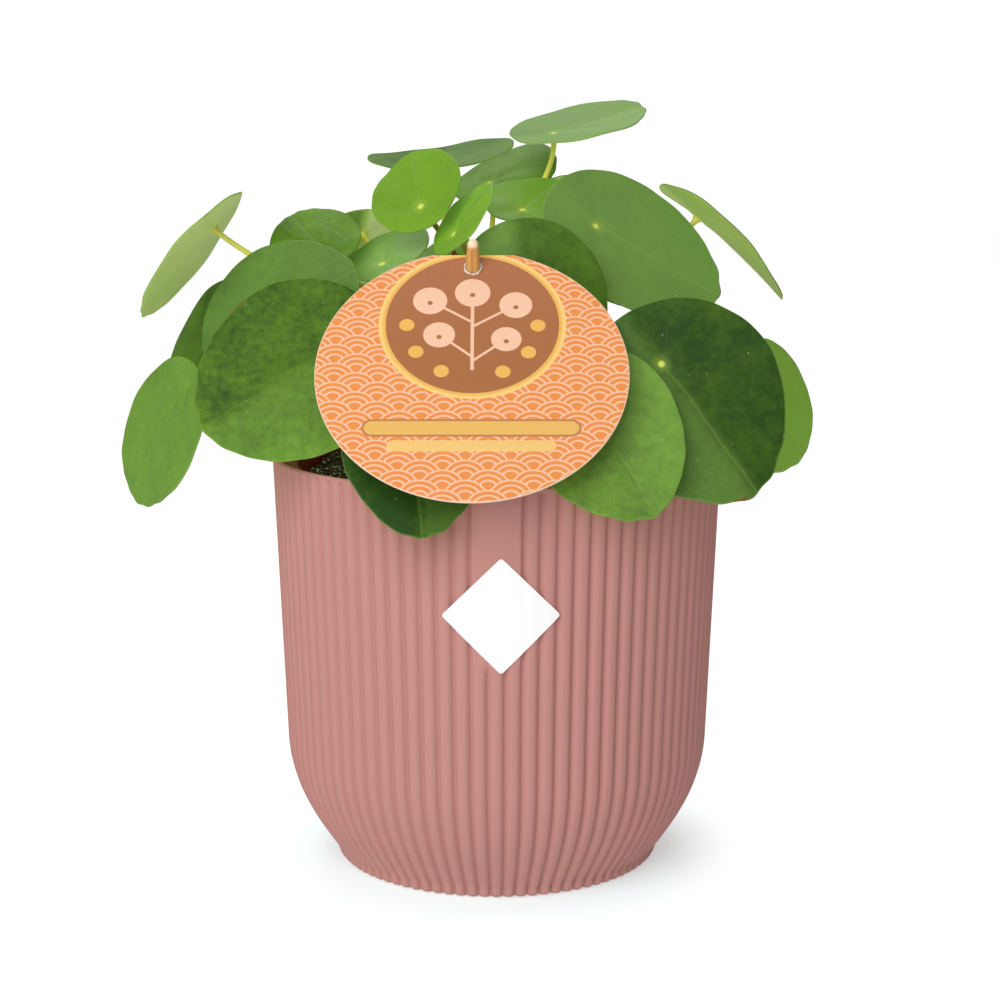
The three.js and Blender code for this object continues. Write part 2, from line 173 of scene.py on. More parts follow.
LEAVES = [
    Leaf("leaf_top", (18.1, 36.5, 226.9), (-29, 75), 143, (44.5, 41.5), (-2, -1, 1), (160, 75, 30),
         tone=0.66, mottle=0.15, painted_sheen=0.55, painted_light_halves=0.1, ruddy=0),
    Leaf("leaf_top_left", (-20.5, 74, 216.8), (-21, 75), 194, (43, 51), (3, -1, -2), (148, 40),
         base=0.22, tone=0.3, mottle=0.5, painted_sheen=0, painted_light_halves=0.05),
    Leaf("leaf_top_middle", (-3, 46, 210.5), (-33, 58), 162, (36, 35), (1.5, 3, 0), (156, 70),
         tone=0.4, mottle=0.3, painted_sheen=0),
    Leaf("leaf_young_front", (-23.5, -5, 205), (-30, 38), 207, (32, 30), (1, -2, 0), (172, 85),
         tone=0.68, mottle=0.1, painted_sheen=0.05, ruddy=0.9),
    Leaf("leaf_young_middle", (-13.5, -12, 197), (-64, 36), 179, (27, 25), (1, 0, 0), (173, 70),
         tone=0.82, mottle=0.2, painted_sheen=0.1, ruddy=0.75),
    Leaf("leaf_upper_middle", (8, 13, 203.4), (-4, 63), 148, (30, 30), (0, 0, 0), (166, 70),
         tone=0.66, mottle=0.2, painted_sheen=0.15),
    Leaf("leaf_upper_right", (31, 6.5, 198.5), (31, 38), 50, (60, 52.5), (0, -1, 0), (160, 55),
         tone=0.5, mottle=0.15, painted_sheen=0.6, point=0.05),
    Leaf("leaf_right_edge_on", (65, 28, 200.4), (100, 50), 0, (53, 42), (2, -3, 4), (150, 25, 35),
         tone=0.08, mottle=0.3, painted_sheen=0.12, painted_light_halves=-0.12),
    Leaf("leaf_behind_card_right", (8, -17, 186), (0, 8), 15, (53, 46), (2, 2.5, 0), (146, 60),
         tone=0.3, mottle=0.3, painted_sheen=0.25, painted_light_halves=0.12),
    Leaf("leaf_left_edge_on", (-88.7, 5, 198), (-99, 39), 14, (48, 45), (1, 0, 2), (150, 35, -10),
         tone=0.8, mottle=0.4, painted_sheen=0.45, ruddy=0),
    Leaf("leaf_left_small", (-51.5, -5, 190), (-13, 50), 222, (30, 29), (1, 2, -1), (154, 60),
         base=0.15, tone=0.34, mottle=0.4, painted_sheen=0.05, painted_light_halves=0.05),
    Leaf("leaf_left_turned_away", (-43, 20, 195), (-150, 30), 0, (32, 32), (1, 1, 0), (156, 65),
         tone=0, mottle=0.3, painted_sheen=0, painted_light_halves=0.8, ruddy=0),
    Leaf("leaf_left_inner", (-35.5, -2, 187.5), (-36, 58), 190, (30, 25.5), (1, 0, 0), (164, 45, -15),
         tone=0.72, mottle=0.15, painted_sheen=0.7),
    Leaf("leaf_left_upper", (-77, -10, 165), (-33, 23), 127, (54, 51), (3, 0, 1), (138, 45),
         tone=0.26, mottle=0.25, painted_sheen=0.36, point=0.06),
    # A low tone here paints the shade this leaf sits in.
    Leaf("leaf_left_shaded", (-89, 12, 166), (-57, 24), -27, (52, 48), (2, 2, 0), (144, 45),
         tone=0.28, mottle=0.25, painted_sheen=0),
    Leaf("leaf_front_left", (-49, -37, 164.5), (-3, 28), -56, (60, 56), (3, 0, 0.5), (140, 50),
         tone=0.28, mottle=0.6, painted_sheen=0, painted_light_halves=-0.08),
    Leaf("leaf_left_low", (-95, -15, 151.3), (-52, 20), -25, (47, 44.5), (2, 0, -1), (132, 30),
         base=0.14, tone=0.48, mottle=0.3, painted_sheen=0.3, dot=0.1),
    # Its near-black tone paints the card's shadow over it.
    Leaf("leaf_front_hanging", (-23.5, -60, 147.5), (3, 38), 2, (49, 42), (2.5, 1, 0), (130, 45),
         tone=0.05, mottle=0.2, painted_sheen=0, painted_light_halves=-0.08, point=0.065),
    Leaf("leaf_front_right_hanging", (24.5, -56, 153), (4, 32), 28, (56, 47), (2.5, 1, -1),
         (130, 10, -10), tone=0.46, mottle=0.85, painted_sheen=0.35, painted_light_halves=-0.04),
    Leaf("leaf_front_right", (48, -45, 161), (3, 24), 35, (61.5, 58), (3, 0, -1), (138, 12),
         tone=0.13, mottle=0.16, painted_sheen=0.16, painted_light_halves=0.07, point=0.06),
    Leaf("leaf_right_low", (81, -5, 149.2), (42, 10), 40, (42.5, 42), (1.5, 3, 0.5), (136, 40),
         tone=1, mottle=0.5, painted_sheen=0.35),
    Leaf("leaf_back_left_high", (-50, 45, 186), (-145, 50), 10, (46, 43), (3, 2, 0), (150, 60)),
    Leaf("leaf_back_left", (-72, 45, 160), (-125, 30), -10, (52, 48), (3, 2, 0), (138, 45), tone=0.35),
    Leaf("leaf_back", (-12, 76, 172), (178, 32), 8, (56, 52), (3, 2, 0), (138, 45), tone=0.3, mottle=0.5),
    Leaf("leaf_back_low_left", (-44, 74, 142), (-155, 24), -12, (50, 47), (4, 2, 0), (130, 40), tone=0.22),
    Leaf("leaf_back_right_high", (29, 57, 204), (150, 45), -10, (44, 42), (2, 2, 0), (152, 60), tone=0.3),
    Leaf("leaf_back_right", (72, 44, 156), (118, 30), 14, (54, 50), (3, 2, 0), (140, 40), tone=0.42),
    Leaf("leaf_back_low_right", (32, 80, 146), (162, 20), 10, (50, 46), (4, 2, 0), (132, 40), tone=0.55),
    Leaf("leaf_inner_right", (33, 21.5, 187.2), (20, 40), 20, (26, 19), (1, 1, 0), (158, 60), tone=0.8),
    Leaf("leaf_inner_middle", (-16, 22, 183), (-5, 55), 170, (26, 24), (1, 1, 0), (168, 50), tone=0.7),
]


def linear(value):
    """One channel of a screen colour, 0 to 255, as linear light from 0 to 1."""
    share = value / 255
    return share / 12.92 if share <= 0.04045 else ((share + 0.055) / 1.055) ** 2.4


def paint(red, green, blue):
    """A colour as seen on a screen, as Blender's linear colour."""
    return (linear(red), linear(green), linear(blue), 1.0)


def colour_property(name, description, red, green, blue):
    return bpy.props.FloatVectorProperty(
        name=name, description=description, subtype="COLOR", size=4, min=0, max=1,
        default=paint(red, green, blue))


def length_property(name, description, millimetres):
    return bpy.props.FloatProperty(
        name=name, description=description, unit="LENGTH", precision=5, default=millimetres * MM)


class PlanterSettings(bpy.types.PropertyGroup):
    """The ribbed planter and the nursery pot in it."""

    rib_count: bpy.props.IntProperty(
        name="Ribs", description="Folds round the wall", default=RIB_COUNT, min=8)
    rib_depth: length_property("Rib depth", "From a rib's crest to the groove beside it", RIB_DEPTH)
    plastic: colour_property("Plastic", "The planter's matte plastic", 197, 144, 136)
    nursery: colour_property("Nursery pot", "The thin plastic pot inside", 124, 24, 18)


class SoilSettings(bpy.types.PropertyGroup):
    """Soil, its crumbs and its pale grains."""

    crumb_size: length_property("Crumb size", "Mean radius of a soil crumb", 0.75)
    crumb_density: bpy.props.FloatProperty(
        name="Crumb density", description="Crumbs on each square metre", default=150000, min=0)
    grain_size: length_property("Grain size", "Mean radius of a pale grain", 0.3)
    grain_density: bpy.props.FloatProperty(
        name="Grain density", description="Pale grains on each square metre", default=120000, min=0)
    seed: bpy.props.IntProperty(name="Seed", description="Draw of the crumbs and grains", default=7)
    soil: colour_property("Soil", "Damp potting mix", 32, 25, 23)
    grains: colour_property("Grains", "Pale mineral grains", 255, 253, 250)


class LeafSettings(bpy.types.PropertyGroup):
    """Blades, stalks and stem."""

    thickness: length_property("Blade thickness", "Of each leaf blade", 0.6)
    ripple: length_property("Edge ripple", "How far the blade's edge waves", 0.3)
    # The dark green also serves as painted shade for leaves given a low tone.
    dark: colour_property("Dark green", "Old leaves' upper side", 36, 70, 18)
    bright: colour_property("Bright green", "Young leaves' upper side", 134, 186, 46)
    # Its brightness is partly painted light shining through the blade.
    underside: colour_property("Underside", "The blade's lower side", 196, 226, 104)
    spot: colour_property("Spot", "The pale point over the stalk", 220, 232, 104)
    rim: colour_property("Rim", "The blade's thin pale rim", 142, 176, 84)
    stalk: colour_property("Stalk", "Leaf stalks near the blade", 228, 226, 92)
    stalk_brown: colour_property("Brown stalk", "Leaf stalks that are red-brown", 134, 78, 44)
    bark: colour_property("Bark", "The main stem", 112, 92, 60)


class CardSettings(bpy.types.PropertyGroup):
    """Printed card, its pick and the bare sticker."""

    wave_spacing: length_property("Wave spacing", "Between two waves of a row", 12.6)
    wave_rise: length_property("Wave rise", "From one row of waves to the next", 3.39)
    orange: colour_property("Orange", "The waves", 243, 149, 74)
    peach: colour_property("Peach", "The waves' lines and the sprig", 254, 204, 170)
    brown: colour_property("Brown", "The round panel", 176, 112, 64)
    gold: colour_property("Gold", "The panel's ring and dots", 246, 188, 92)
    wood: colour_property("Wood", "The pick", 226, 178, 108)
    paper: colour_property("Paper", "The sticker", 255, 255, 255)


class StudioSettings(bpy.types.PropertyGroup):
    """Floor, lights and camera."""

    key_power: bpy.props.FloatProperty(
        name="Key light", description="Soft light from the upper left", unit="POWER", default=13.4)
    fill_power: bpy.props.FloatProperty(
        name="Top light", description="Soft light from above and behind", unit="POWER", default=3.6)
    room_light: bpy.props.FloatProperty(
        name="Room light", description="Even light from all round", default=0.2, min=0)
    # Near the pot the floor's cyan tint is painted to cancel the pink light the planter throws on it.
    floor: colour_property("Floor", "The plain floor", 222, 248, 250)


class MoneyPlantSettings(bpy.types.PropertyGroup):
    """All the sizes and colours of the plant and its studio."""

    planter: bpy.props.PointerProperty(
        type=PlanterSettings, name="Planter", description="The ribbed planter and the nursery pot")
    soil: bpy.props.PointerProperty(
        type=SoilSettings, name="Soil", description="Soil, crumbs and pale grains")
    leaves: bpy.props.PointerProperty(
        type=LeafSettings, name="Leaves", description="Blades, stalks and stem")
    card: bpy.props.PointerProperty(
        type=CardSettings, name="Card", description="Card, pick and sticker")
    studio: bpy.props.PointerProperty(
        type=StudioSettings, name="Studio", description="Floor, lights and camera")


class Quantity:
    """A number in a node tree. Sums written with it become Math nodes."""

    def __init__(self, tree, socket):
        self.tree = tree
        self.socket = socket

    def math(self, operation, *others, reverse=False):
        node = self.tree.nodes.new("ShaderNodeMath")
        node.operation = operation
        values = [self, *others]
        if reverse:
            values.reverse()
        for slot, value in zip(node.inputs, values):
            connect(self.tree, slot, value)
        return Quantity(self.tree, node.outputs[0])

    def __add__(self, other):
        return self.math("ADD", other)

    def __sub__(self, other):
        return self.math("SUBTRACT", other)

    def __rsub__(self, other):
        return self.math("SUBTRACT", other, reverse=True)

    def __mul__(self, other):
        return self.math("MULTIPLY", other)

    def __truediv__(self, other):
        return self.math("DIVIDE", other)

    def __pow__(self, other):
        return self.math("POWER", other)

    def __abs__(self):
        return self.math("ABSOLUTE")

    def ramp(self, low, high):
        """0 at low and 1 at high, with soft ends. low may be above high."""
        node = self.tree.nodes.new("ShaderNodeMapRange")
        node.interpolation_type = "SMOOTHSTEP"
        connect(self.tree, node.inputs["Value"], self)
        connect(self.tree, node.inputs["From Min"], low)
        connect(self.tree, node.inputs["From Max"], high)
        return Quantity(self.tree, node.outputs["Result"])

    __radd__ = __add__


def connect(tree, slot, value):
    """Links a socket or a quantity to an input, or sets the input's own value."""
    if isinstance(value, Quantity):
        tree.links.new(value.socket, slot)
    elif isinstance(value, bpy.types.NodeSocket):
        tree.links.new(value, slot)
    else:
        slot.default_value = value


def add_node(tree, kind, inputs=None, **settings):
    """A new node with its settings and its inputs, which are given by name or by number."""
    node = tree.nodes.new(kind)
    for setting, value in settings.items():
        setattr(node, setting, value)
    for slot, value in (inputs or {}).items():
        connect(tree, node.inputs[slot], value)
    return node


def length_of(first, second):
    return (first * first + second * second).math("SQRT")


def split(tree, vector):
    node = add_node(tree, "ShaderNodeSeparateXYZ", {0: vector})
    return [Quantity(tree, socket) for socket in node.outputs]


def joined(tree, *values):
    return add_node(tree, "ShaderNodeCombineXYZ", dict(enumerate(values))).outputs[0]


def grain(tree, place, scale, detail=2, rough=0.5):
    """Noise from 0 to 1, with scale in cells a metre."""
    inputs = {"Vector": place, "Scale": scale, "Detail": detail, "Roughness": rough}
    return Quantity(tree, add_node(tree, "ShaderNodeTexNoise", inputs).outputs[0])


def mixed(tree, share, first, second):
    """A colour between two others."""
    node = add_node(tree, "ShaderNodeMix", data_type="RGBA")
    connect(tree, node.inputs[0], share)
    connect(tree, node.inputs[6], first)
    connect(tree, node.inputs[7], second)
    return node.outputs[2]


def attribute(tree, name):
    return add_node(tree, "ShaderNodeAttribute", attribute_name=name).outputs


def object_place(tree):
    return add_node(tree, "ShaderNodeTexCoord").outputs["Object"]


def local_place(tree, middle, turn):
    """Object coordinates in millimetres, in the frame of a piece with this middle and turn in degrees."""
    return add_node(
        tree, "ShaderNodeMapping",
        {
            "Vector": object_place(tree),
            "Location": [value * MM for value in middle],
            "Rotation": [math.radians(value) for value in turn],
            "Scale": (MM, MM, MM),
        },
        vector_type="TEXTURE",
    ).outputs[0]


def raise_surface(tree, height, distance, strength=1.0):
    """Bump from a height of 0 to 1, whose full height is the distance in millimetres."""
    node = add_node(tree, "ShaderNodeBump", {"Strength": strength, "Distance": distance * MM})
    connect(tree, node.inputs["Height"], height)
    return node.outputs[0]


def new_material(name, **values):
    """A material with its Principled shader, whose sockets are given with _ for a space."""
    material = bpy.data.materials.new(name)
    material.use_nodes = True
    tree = material.node_tree
    shader = tree.nodes["Principled BSDF"]
    for socket, value in values.items():
        shader.inputs[socket.replace("_", " ")].default_value = value
    return material, tree, shader


def finish_shader(tree, shader, colour, normal=None, roughness=None):
    connect(tree, shader.inputs["Base Color"], colour)
    if normal is not None:
        connect(tree, shader.inputs["Normal"], normal)
    if roughness is not None:
        connect(tree, shader.inputs["Roughness"], roughness)


class Body:
    """Points, faces, the material slot and the marks of one closed body."""

    def __init__(self, points, faces, slot=0, **marks):
        self.points = np.asarray(points, float)
        self.faces = faces
        self.slot = slot
        self.marks = marks


def ring_body(rings, low_middle=None, top_middle=None, slot=0, closed_round=False, **marks):
    """A body from rings that run anticlockwise seen from its top, lowest ring first.

    Each end closes on its middle point, or the last ring joins the first where closed_round is set.
    """
    rings = np.asarray(rings, float)
    rows, around = rings.shape[:2]
    points = rings.reshape(-1, 3)
    across = np.arange(around)
    after = (across + 1) % around
    faces = []
    for row in range(rows if closed_round else rows - 1):
        low, high = row * around, ((row + 1) % rows) * around
        faces += np.stack([low + across, low + after, high + after, high + across], 1).tolist()
    ends = [middle for middle in (low_middle, top_middle) if middle is not None]
    if ends:
        points = np.vstack([points, ends])
    if low_middle is not None:
        low = np.full(around, rows * around)
        faces += np.stack([low, after, across], 1).tolist()
    if top_middle is not None:
        top, last = np.full(around, len(points) - 1), (rows - 1) * around
        faces += np.stack([top, last + across, last + after], 1).tolist()
    return Body(points, faces, slot, **marks)


def make_mesh(name, bodies, materials, crease=50):
    """A smooth-shaded mesh object from bodies in millimetres."""
    starts = np.cumsum([0] + [len(body.points) for body in bodies])
    points = np.vstack([body.points for body in bodies]) * MM
    faces = []
    for body, start in zip(bodies, starts):
        faces += [[index + start for index in face] for face in body.faces]
    mesh = bpy.data.meshes.new(name)
    mesh.from_pydata(points.tolist(), [], faces)
    for material in materials:
        mesh.materials.append(material)
    slots = np.concatenate([np.full(len(body.faces), body.slot) for body in bodies])
    mesh.polygons.foreach_set("material_index", slots.astype(np.int32))
    for mark in sorted({mark for body in bodies for mark in body.marks}):
        shape = next(np.shape(body.marks[mark])[1:] for body in bodies if mark in body.marks)
        parts = [np.broadcast_to(body.marks.get(mark, 0.0), (len(body.points), *shape)) for body in bodies]
        values = np.concatenate(parts).astype(np.float32).ravel()
        layer = mesh.attributes.new(mark, "FLOAT_VECTOR" if shape else "FLOAT", "POINT")
        layer.data.foreach_set("vector" if shape else "value", values)
    mesh.polygons.foreach_set("use_smooth", np.ones(len(mesh.polygons), bool))
    mesh.set_sharp_from_angle(angle=math.radians(crease))
    mesh.update()
    piece = bpy.data.objects.new(name, mesh)
    bpy.context.scene.collection.objects.link(piece)
    return piece


def finish_piece(piece, slot, *nodes):
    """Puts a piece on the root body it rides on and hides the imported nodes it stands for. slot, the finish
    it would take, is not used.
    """
    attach(piece, "root")
    if nodes:
        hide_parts(*nodes)


def new_tree(name, inputs):
    """A geometry tree with named inputs, each given as its kind and default."""
    tree = bpy.data.node_groups.new(name, "GeometryNodeTree")
    tree.interface.new_socket("Geometry", in_out="INPUT", socket_type="NodeSocketGeometry")
    tree.interface.new_socket("Geometry", in_out="OUTPUT", socket_type="NodeSocketGeometry")
    for label, (kind, default) in inputs.items():
        socket = tree.interface.new_socket(label, in_out="INPUT", socket_type=f"NodeSocket{kind}")
        if default is not None:
            socket.default_value = default
    return tree, tree.nodes.new("NodeGroupInput").outputs


def end_tree(tree, geometry, material):
    """Realizes what a tree made, gives it its material and sends it out."""
    real = add_node(tree, "GeometryNodeRealizeInstances", {0: geometry}).outputs[0]
    dressed = add_node(tree, "GeometryNodeSetMaterial", {"Geometry": real, "Material": material})
    add_node(tree, "NodeGroupOutput", {0: dressed.outputs[0]})


def bake_tree(piece, tree, values):
    """Runs a geometry tree on a piece and keeps the result as its plain mesh."""
    modifier = piece.modifiers.new(tree.name, "NODES")
    modifier.node_group = tree
    for item in tree.interface.items_tree:
        if item.in_out == "INPUT" and item.name in values:
            modifier[item.identifier] = values[item.name]
    ready = piece.evaluated_get(bpy.context.evaluated_depsgraph_get())
    mesh = bpy.data.meshes.new_from_object(ready)
    piece.modifiers.clear()
    piece.data = mesh


def full_turn(count):
    """Evenly spaced angles round a full turn."""
    return np.arange(count) / count * TURN


def circle(radius, height, count):
    """A level ring of points, anticlockwise from the front."""
    turns = full_turn(count)
    heights = np.full(count, height)
    return np.stack([radius * np.sin(turns), -radius * np.cos(turns), heights], 1)


def round_about(angles, first, second):
    """Directions at some angles, from the first of two directions towards the second."""
    return np.cos(angles)[:, None] * first + np.sin(angles)[:, None] * second


def bezier(points, steps):
    """Points and directions along a cubic Bezier curve."""
    t = np.linspace(0, 1, steps + 1)[:, None]
    a, b, c, d = (np.asarray(point, float) for point in points)
    place = (1 - t) ** 3 * a + 3 * t * (1 - t) ** 2 * b + 3 * t * t * (1 - t) * c + t ** 3 * d
    along = 3 * (1 - t) ** 2 * (b - a) + 6 * t * (1 - t) * (c - b) + 3 * t * t * (d - c)
    return place, along / np.linalg.norm(along, axis=1, keepdims=True)


def wall_radius(height):
    """Crest radius of the planter's straight wall."""
    return np.interp(height, (SHOULDER[1], PLANTER_HEIGHT), (SHOULDER[0], RIM_RADIUS))


def belly_line(steps):
    """The planter's outer line from the neck up to the shoulder."""
    controls = [
        (NECK[0], NECK[1], 0),
        (NECK[0] + 7.1, NECK[1] + 9.7, 0),
        (SHOULDER[0] - 1, SHOULDER[1] - 15, 0),
        (SHOULDER[0], SHOULDER[1], 0),
    ]
    return [(r, z) for r, z, _ in bezier(controls, steps)[0]]


def planter_plastic(settings):
    material, tree, shader = new_material("planter_plastic", Specular_IOR_Level=0)
    place = object_place(tree)
    blush = grain(tree, place, 14, 3)
    speckle = grain(tree, place, 1500, 2)
    tint = mixed(tree, blush * 0.14 + speckle * 0.06, settings.plastic, paint(186, 120, 112))
    normal = raise_surface(tree, grain(tree, place, 900, 3, 0.6), 0.03, 0.5)
    finish_shader(tree, shader, tint, normal, blush * 0.1 + 0.5)
    return material


def rib_tree():
    """Folds a turned wall into ribs. Its mark outside is 1 where the wall may fold."""
    sizes = {
        "Ribs": ("Float", float(RIB_COUNT)),
        "Depth": ("Float", RIB_DEPTH * MM),
        "Rib End": ("Float", RIB_END * MM),
        "Strip Ribs": ("Float", float(STRIP_RIBS)),
        "Strip Low End": ("Float", STRIP_LOW_END * MM),
    }
    tree, given = new_tree("wall_ribs", {**sizes, "Material": ("Material", None)})
    ribs, depth, rib_end, strip_ribs, strip_end = (Quantity(tree, given[label]) for label in sizes)
    x, y, z = split(tree, tree.nodes.new("GeometryNodeInputPosition").outputs[0])
    outside = add_node(tree, "GeometryNodeInputNamedAttribute", {0: "outside"}, data_type="FLOAT")
    outside = Quantity(tree, outside.outputs[0])
    turn = x.math("ARCTAN2", y * -1)
    hollow = 1 - abs((turn * ribs / 2).math("COSINE"))
    below_lip = z.ramp(rib_end, rib_end - hollow * (0.6 * MM) - 0.9 * MM)
    half_strip = strip_ribs * (TURN / 2) / ribs
    strip = abs(turn).ramp(half_strip * 0.985, half_strip * 0.86)
    strip = strip * z.ramp(strip_end - 5 * MM, strip_end)
    inward = depth * hollow ** 1.6 * below_lip * (1 - strip) * outside
    share = inward / length_of(x, y).math("MAXIMUM", 0.001) * -1
    offset = joined(tree, x * share, y * share, 0.0)
    folded = add_node(
        tree, "GeometryNodeSetPosition", {"Geometry": given["Geometry"], "Offset": offset})
    end_tree(tree, folded.outputs[0], given["Material"])
    return tree


def make_planter(settings):
    """The planter: a turned wall, its lip and floor, folded into ribs by a geometry tree."""
    count = settings.rib_count * POINTS_PER_RIB
    top, rim_inside = PLANTER_HEIGHT, RIM_RADIUS - WALL
    heights = [*np.linspace(SHOULDER[1], top - 6.3, 15)[1:]]
    heights = sorted([*heights, STRIP_LOW_END - 5, STRIP_LOW_END - 2, STRIP_LOW_END])
    heights += [*np.linspace(top - 4.3, top - 0.9, 9)]
    outer = [(FOOT_RADIUS - 0.5, 0), (FOOT_RADIUS, 0.4), (NECK[0], 1.4), *belly_line(18)]
    outer += [(wall_radius(z), z) for z in heights]
    lip = [(RIM_RADIUS - 0.05, top - 0.4), (RIM_RADIUS - 0.45, top), (rim_inside + 0.5, top)]
    inner = [(rim_inside + 0.1, top - 0.6), (rim_inside - 0.1, top - 1.5)]
    inner += [(wall_radius(z) - RIBBED_WALL, z) for z in (118, 80, 42)]
    inner += [(r - RIBBED_WALL, z + 1.2) for r, z in belly_line(6)[::-1]]
    profile = [(40, 0), *outer, *lip, *inner, (NECK[0] - 5, PLANTER_FLOOR)]
    rings = [circle(r, z, count) for r, z in profile]
    outside = np.zeros((len(profile), count))
    outside[1:len(outer) + 1] = 1
    outside = np.append(outside.ravel(), (0, 0))
    body = ring_body(rings, (0, 0, 0), (0, 0, PLANTER_FLOOR), outside=outside)
    piece = make_mesh("ribbed_planter", [body], [])
    bake_tree(piece, rib_tree(), {
        "Ribs": float(settings.rib_count),
        "Depth": settings.rib_depth,
        "Material": planter_plastic(settings),
    })
    finish_piece(piece, "planter_pink", "planter")


def nursery_plastic(settings):
    material, tree, shader = new_material("nursery_plastic", Specular_IOR_Level=0.2)
    place = object_place(tree)
    dust = grain(tree, place, 180, 4, 0.65)
    tint = mixed(tree, dust.ramp(0.55, 0.8) * 0.2, settings.nursery, paint(150, 70, 56))
    normal = raise_surface(tree, grain(tree, place, 300, 2), 0.05)
    finish_shader(tree, shader, tint, normal, dust * 0.3 + 0.35)
    return material


def nursery_radius(height):
    return np.interp(height, (NURSERY_FOOT, NURSERY_FOOT + NURSERY_HEIGHT), NURSERY_RADII)


def make_nursery_pot(settings):
    """The thin pot inside the planter, with its rolled rim."""
    top = NURSERY_FOOT + NURSERY_HEIGHT
    low_rim = top - NURSERY_RIM
    floor = NURSERY_FOOT + NURSERY_FLOOR
    edge = nursery_radius(top)
    profile = [
        (NURSERY_RADII[0] - 1, NURSERY_FOOT), (NURSERY_RADII[0], NURSERY_FOOT + 1),
        (nursery_radius(60), 60), (nursery_radius(low_rim) - 0.05, low_rim - 0.4),
        (nursery_radius(low_rim) + 2.8, low_rim), (edge + 3.2, low_rim + 0.8), (edge + 3.4, top - 0.9),
        (edge + 3.1, top - 0.2), (edge + 2.6, top), (edge + 1.8, top - 0.3), (edge + 0.2, top - 1.4),
        (edge - NURSERY_WALL, top - 2), (nursery_radius(60) - NURSERY_WALL, 60),
        (NURSERY_RADII[0] - NURSERY_WALL, floor),
    ]
    rings = [circle(r, z, 180) for r, z in profile]
    body = ring_body(rings, (0, 0, NURSERY_FOOT), (0, 0, floor))
    piece = make_mesh("thin_nursery_pot", [body], [nursery_plastic(settings)])
    finish_piece(piece, "nursery_red", "nursery_pot")


def hump(x, y, middle, spread):
    return math.exp(-((x - middle[0]) ** 2 + (y - middle[1]) ** 2) / spread)


def soil_height(x, y):
    """The soil's surface: uneven, a little higher round the stem and sunk at the left of the pot."""
    lumps = math.sin(x * 0.21 + 1) * math.cos(y * 0.17) + 0.6 * math.sin(x * 0.09 - y * 0.23)
    fine = noise.fractal(Vector((x * 0.25, y * 0.25, 4)), 1.0, 2.0, 4)
    stem, dip = hump(x, y, STEM_SPOT, 500), hump(x, y, SOIL_DIP, 260)
    return SOIL_LEVEL + 0.66 * lumps + 1.5 * stem + 0.9 * fine - 3 * dip


def soil_mix(settings):
    material, tree, shader = new_material("soil_mix", Roughness=0.95)
    place = object_place(tree)
    clods = grain(tree, place, 420, 6, 0.7)
    tint = mixed(tree, clods.ramp(0.35, 0.75), settings.soil, paint(78, 58, 46))
    finish_shader(tree, shader, tint, raise_surface(tree, clods, 0.8))
    return material


def pale_grain(settings):
    material, tree, shader = new_material("pale_grain", Roughness=0.8)
    place = object_place(tree)
    dirt = grain(tree, place, 600, 4, 0.6)
    tint = mixed(tree, dirt.ramp(0.6, 0.8), settings.grains, paint(126, 108, 92))
    finish_shader(tree, shader, tint, raise_surface(tree, grain(tree, place, 2200, 3), 0.1))
    return material


def scatter_tree(name):
    """Rough lumps scattered over a surface."""
    tree, given = new_tree(name, {
        "Density": ("Float", 1000.0),
        "Size": ("Float", 0.001),
        "Seed": ("Int", 0),
        "Material": ("Material", None),
    })
    points = add_node(tree, "GeometryNodeDistributePointsOnFaces", {
        "Mesh": given["Geometry"], "Density": given["Density"], "Seed": given["Seed"]})
    lump = add_node(tree, "GeometryNodeMeshIcoSphere", {"Radius": given["Size"]})
    place = tree.nodes.new("GeometryNodeInputPosition").outputs[0]
    dents = add_node(tree, "ShaderNodeTexNoise", {"Vector": place, "Scale": 1400.0, "Detail": 1.0})
    push = add_node(
        tree, "ShaderNodeVectorMath", {0: dents.outputs["Color"], 1: (0.5, 0.5, 0.5)}, operation="SUBTRACT")
    push = add_node(
        tree, "ShaderNodeVectorMath", {0: push.outputs[0], "Scale": 1.1 * MM}, operation="SCALE")
    rough = add_node(
        tree, "GeometryNodeSetPosition", {"Geometry": lump.outputs["Mesh"], "Offset": push.outputs[0]})
    spin, size = (
        add_node(
            tree, "FunctionNodeRandomValue", {0: least, 1: most, "Seed": given["Seed"]},
            data_type="FLOAT_VECTOR").outputs[0]
        for least, most in (((0, 0, 0), (TURN, TURN, TURN)), ((0.35, 0.35, 0.3), (1.5, 1.4, 1.0)))
    )
    lumps = add_node(tree, "GeometryNodeInstanceOnPoints", {
        "Points": points.outputs[0], "Instance": rough.outputs[0], "Rotation": spin, "Scale": size})
    end_tree(tree, lumps.outputs[0], given["Material"])
    return tree


def soil_rings(edge, steps, count, lift=0.0):
    """Rings over the soil from its edge, which is tucked down, to its middle."""
    rings = []
    for share in np.linspace(1, 1 / steps, steps):
        ring = circle(edge * share, 0, count)
        ring[:, 2] = [soil_height(x, y) + lift - (0.8 if share > 0.99 else 0) for x, y, _ in ring]
        rings.append(ring)
    return rings


def make_soil(settings):
    """Soil in the nursery pot, with crumbs and pale grains scattered over it."""
    floor = NURSERY_FOOT + NURSERY_FLOOR + SOIL_GAP
    inset = NURSERY_WALL + SOIL_GAP
    edge = nursery_radius(SOIL_LEVEL) - inset
    surface = soil_rings(edge, 40, 128)
    middle = (0, 0, soil_height(0, 0))
    foot = circle(nursery_radius(floor) - inset, floor, 128)
    bed = ring_body([foot, *surface], (0, 0, floor), middle)
    piece = make_mesh("soil_bed", [bed], [soil_mix(settings)], crease=80)
    finish_piece(piece, "potting_soil", "soil")
    for name, density, size, lift, material in (
        ("soil_crumbs", settings.crumb_density, settings.crumb_size, 0, soil_mix(settings)),
        ("soil_grains", settings.grain_density, settings.grain_size, 0.5, pale_grain(settings)),
    ):
        top = ring_body(soil_rings(edge - 0.8, 24, 96, lift), None, middle)
        piece = make_mesh(name, [top], [])
        bake_tree(piece, scatter_tree(name), {
            "Density": density, "Size": size, "Seed": settings.seed, "Material": material,
        })
        finish_piece(piece, "potting_soil")


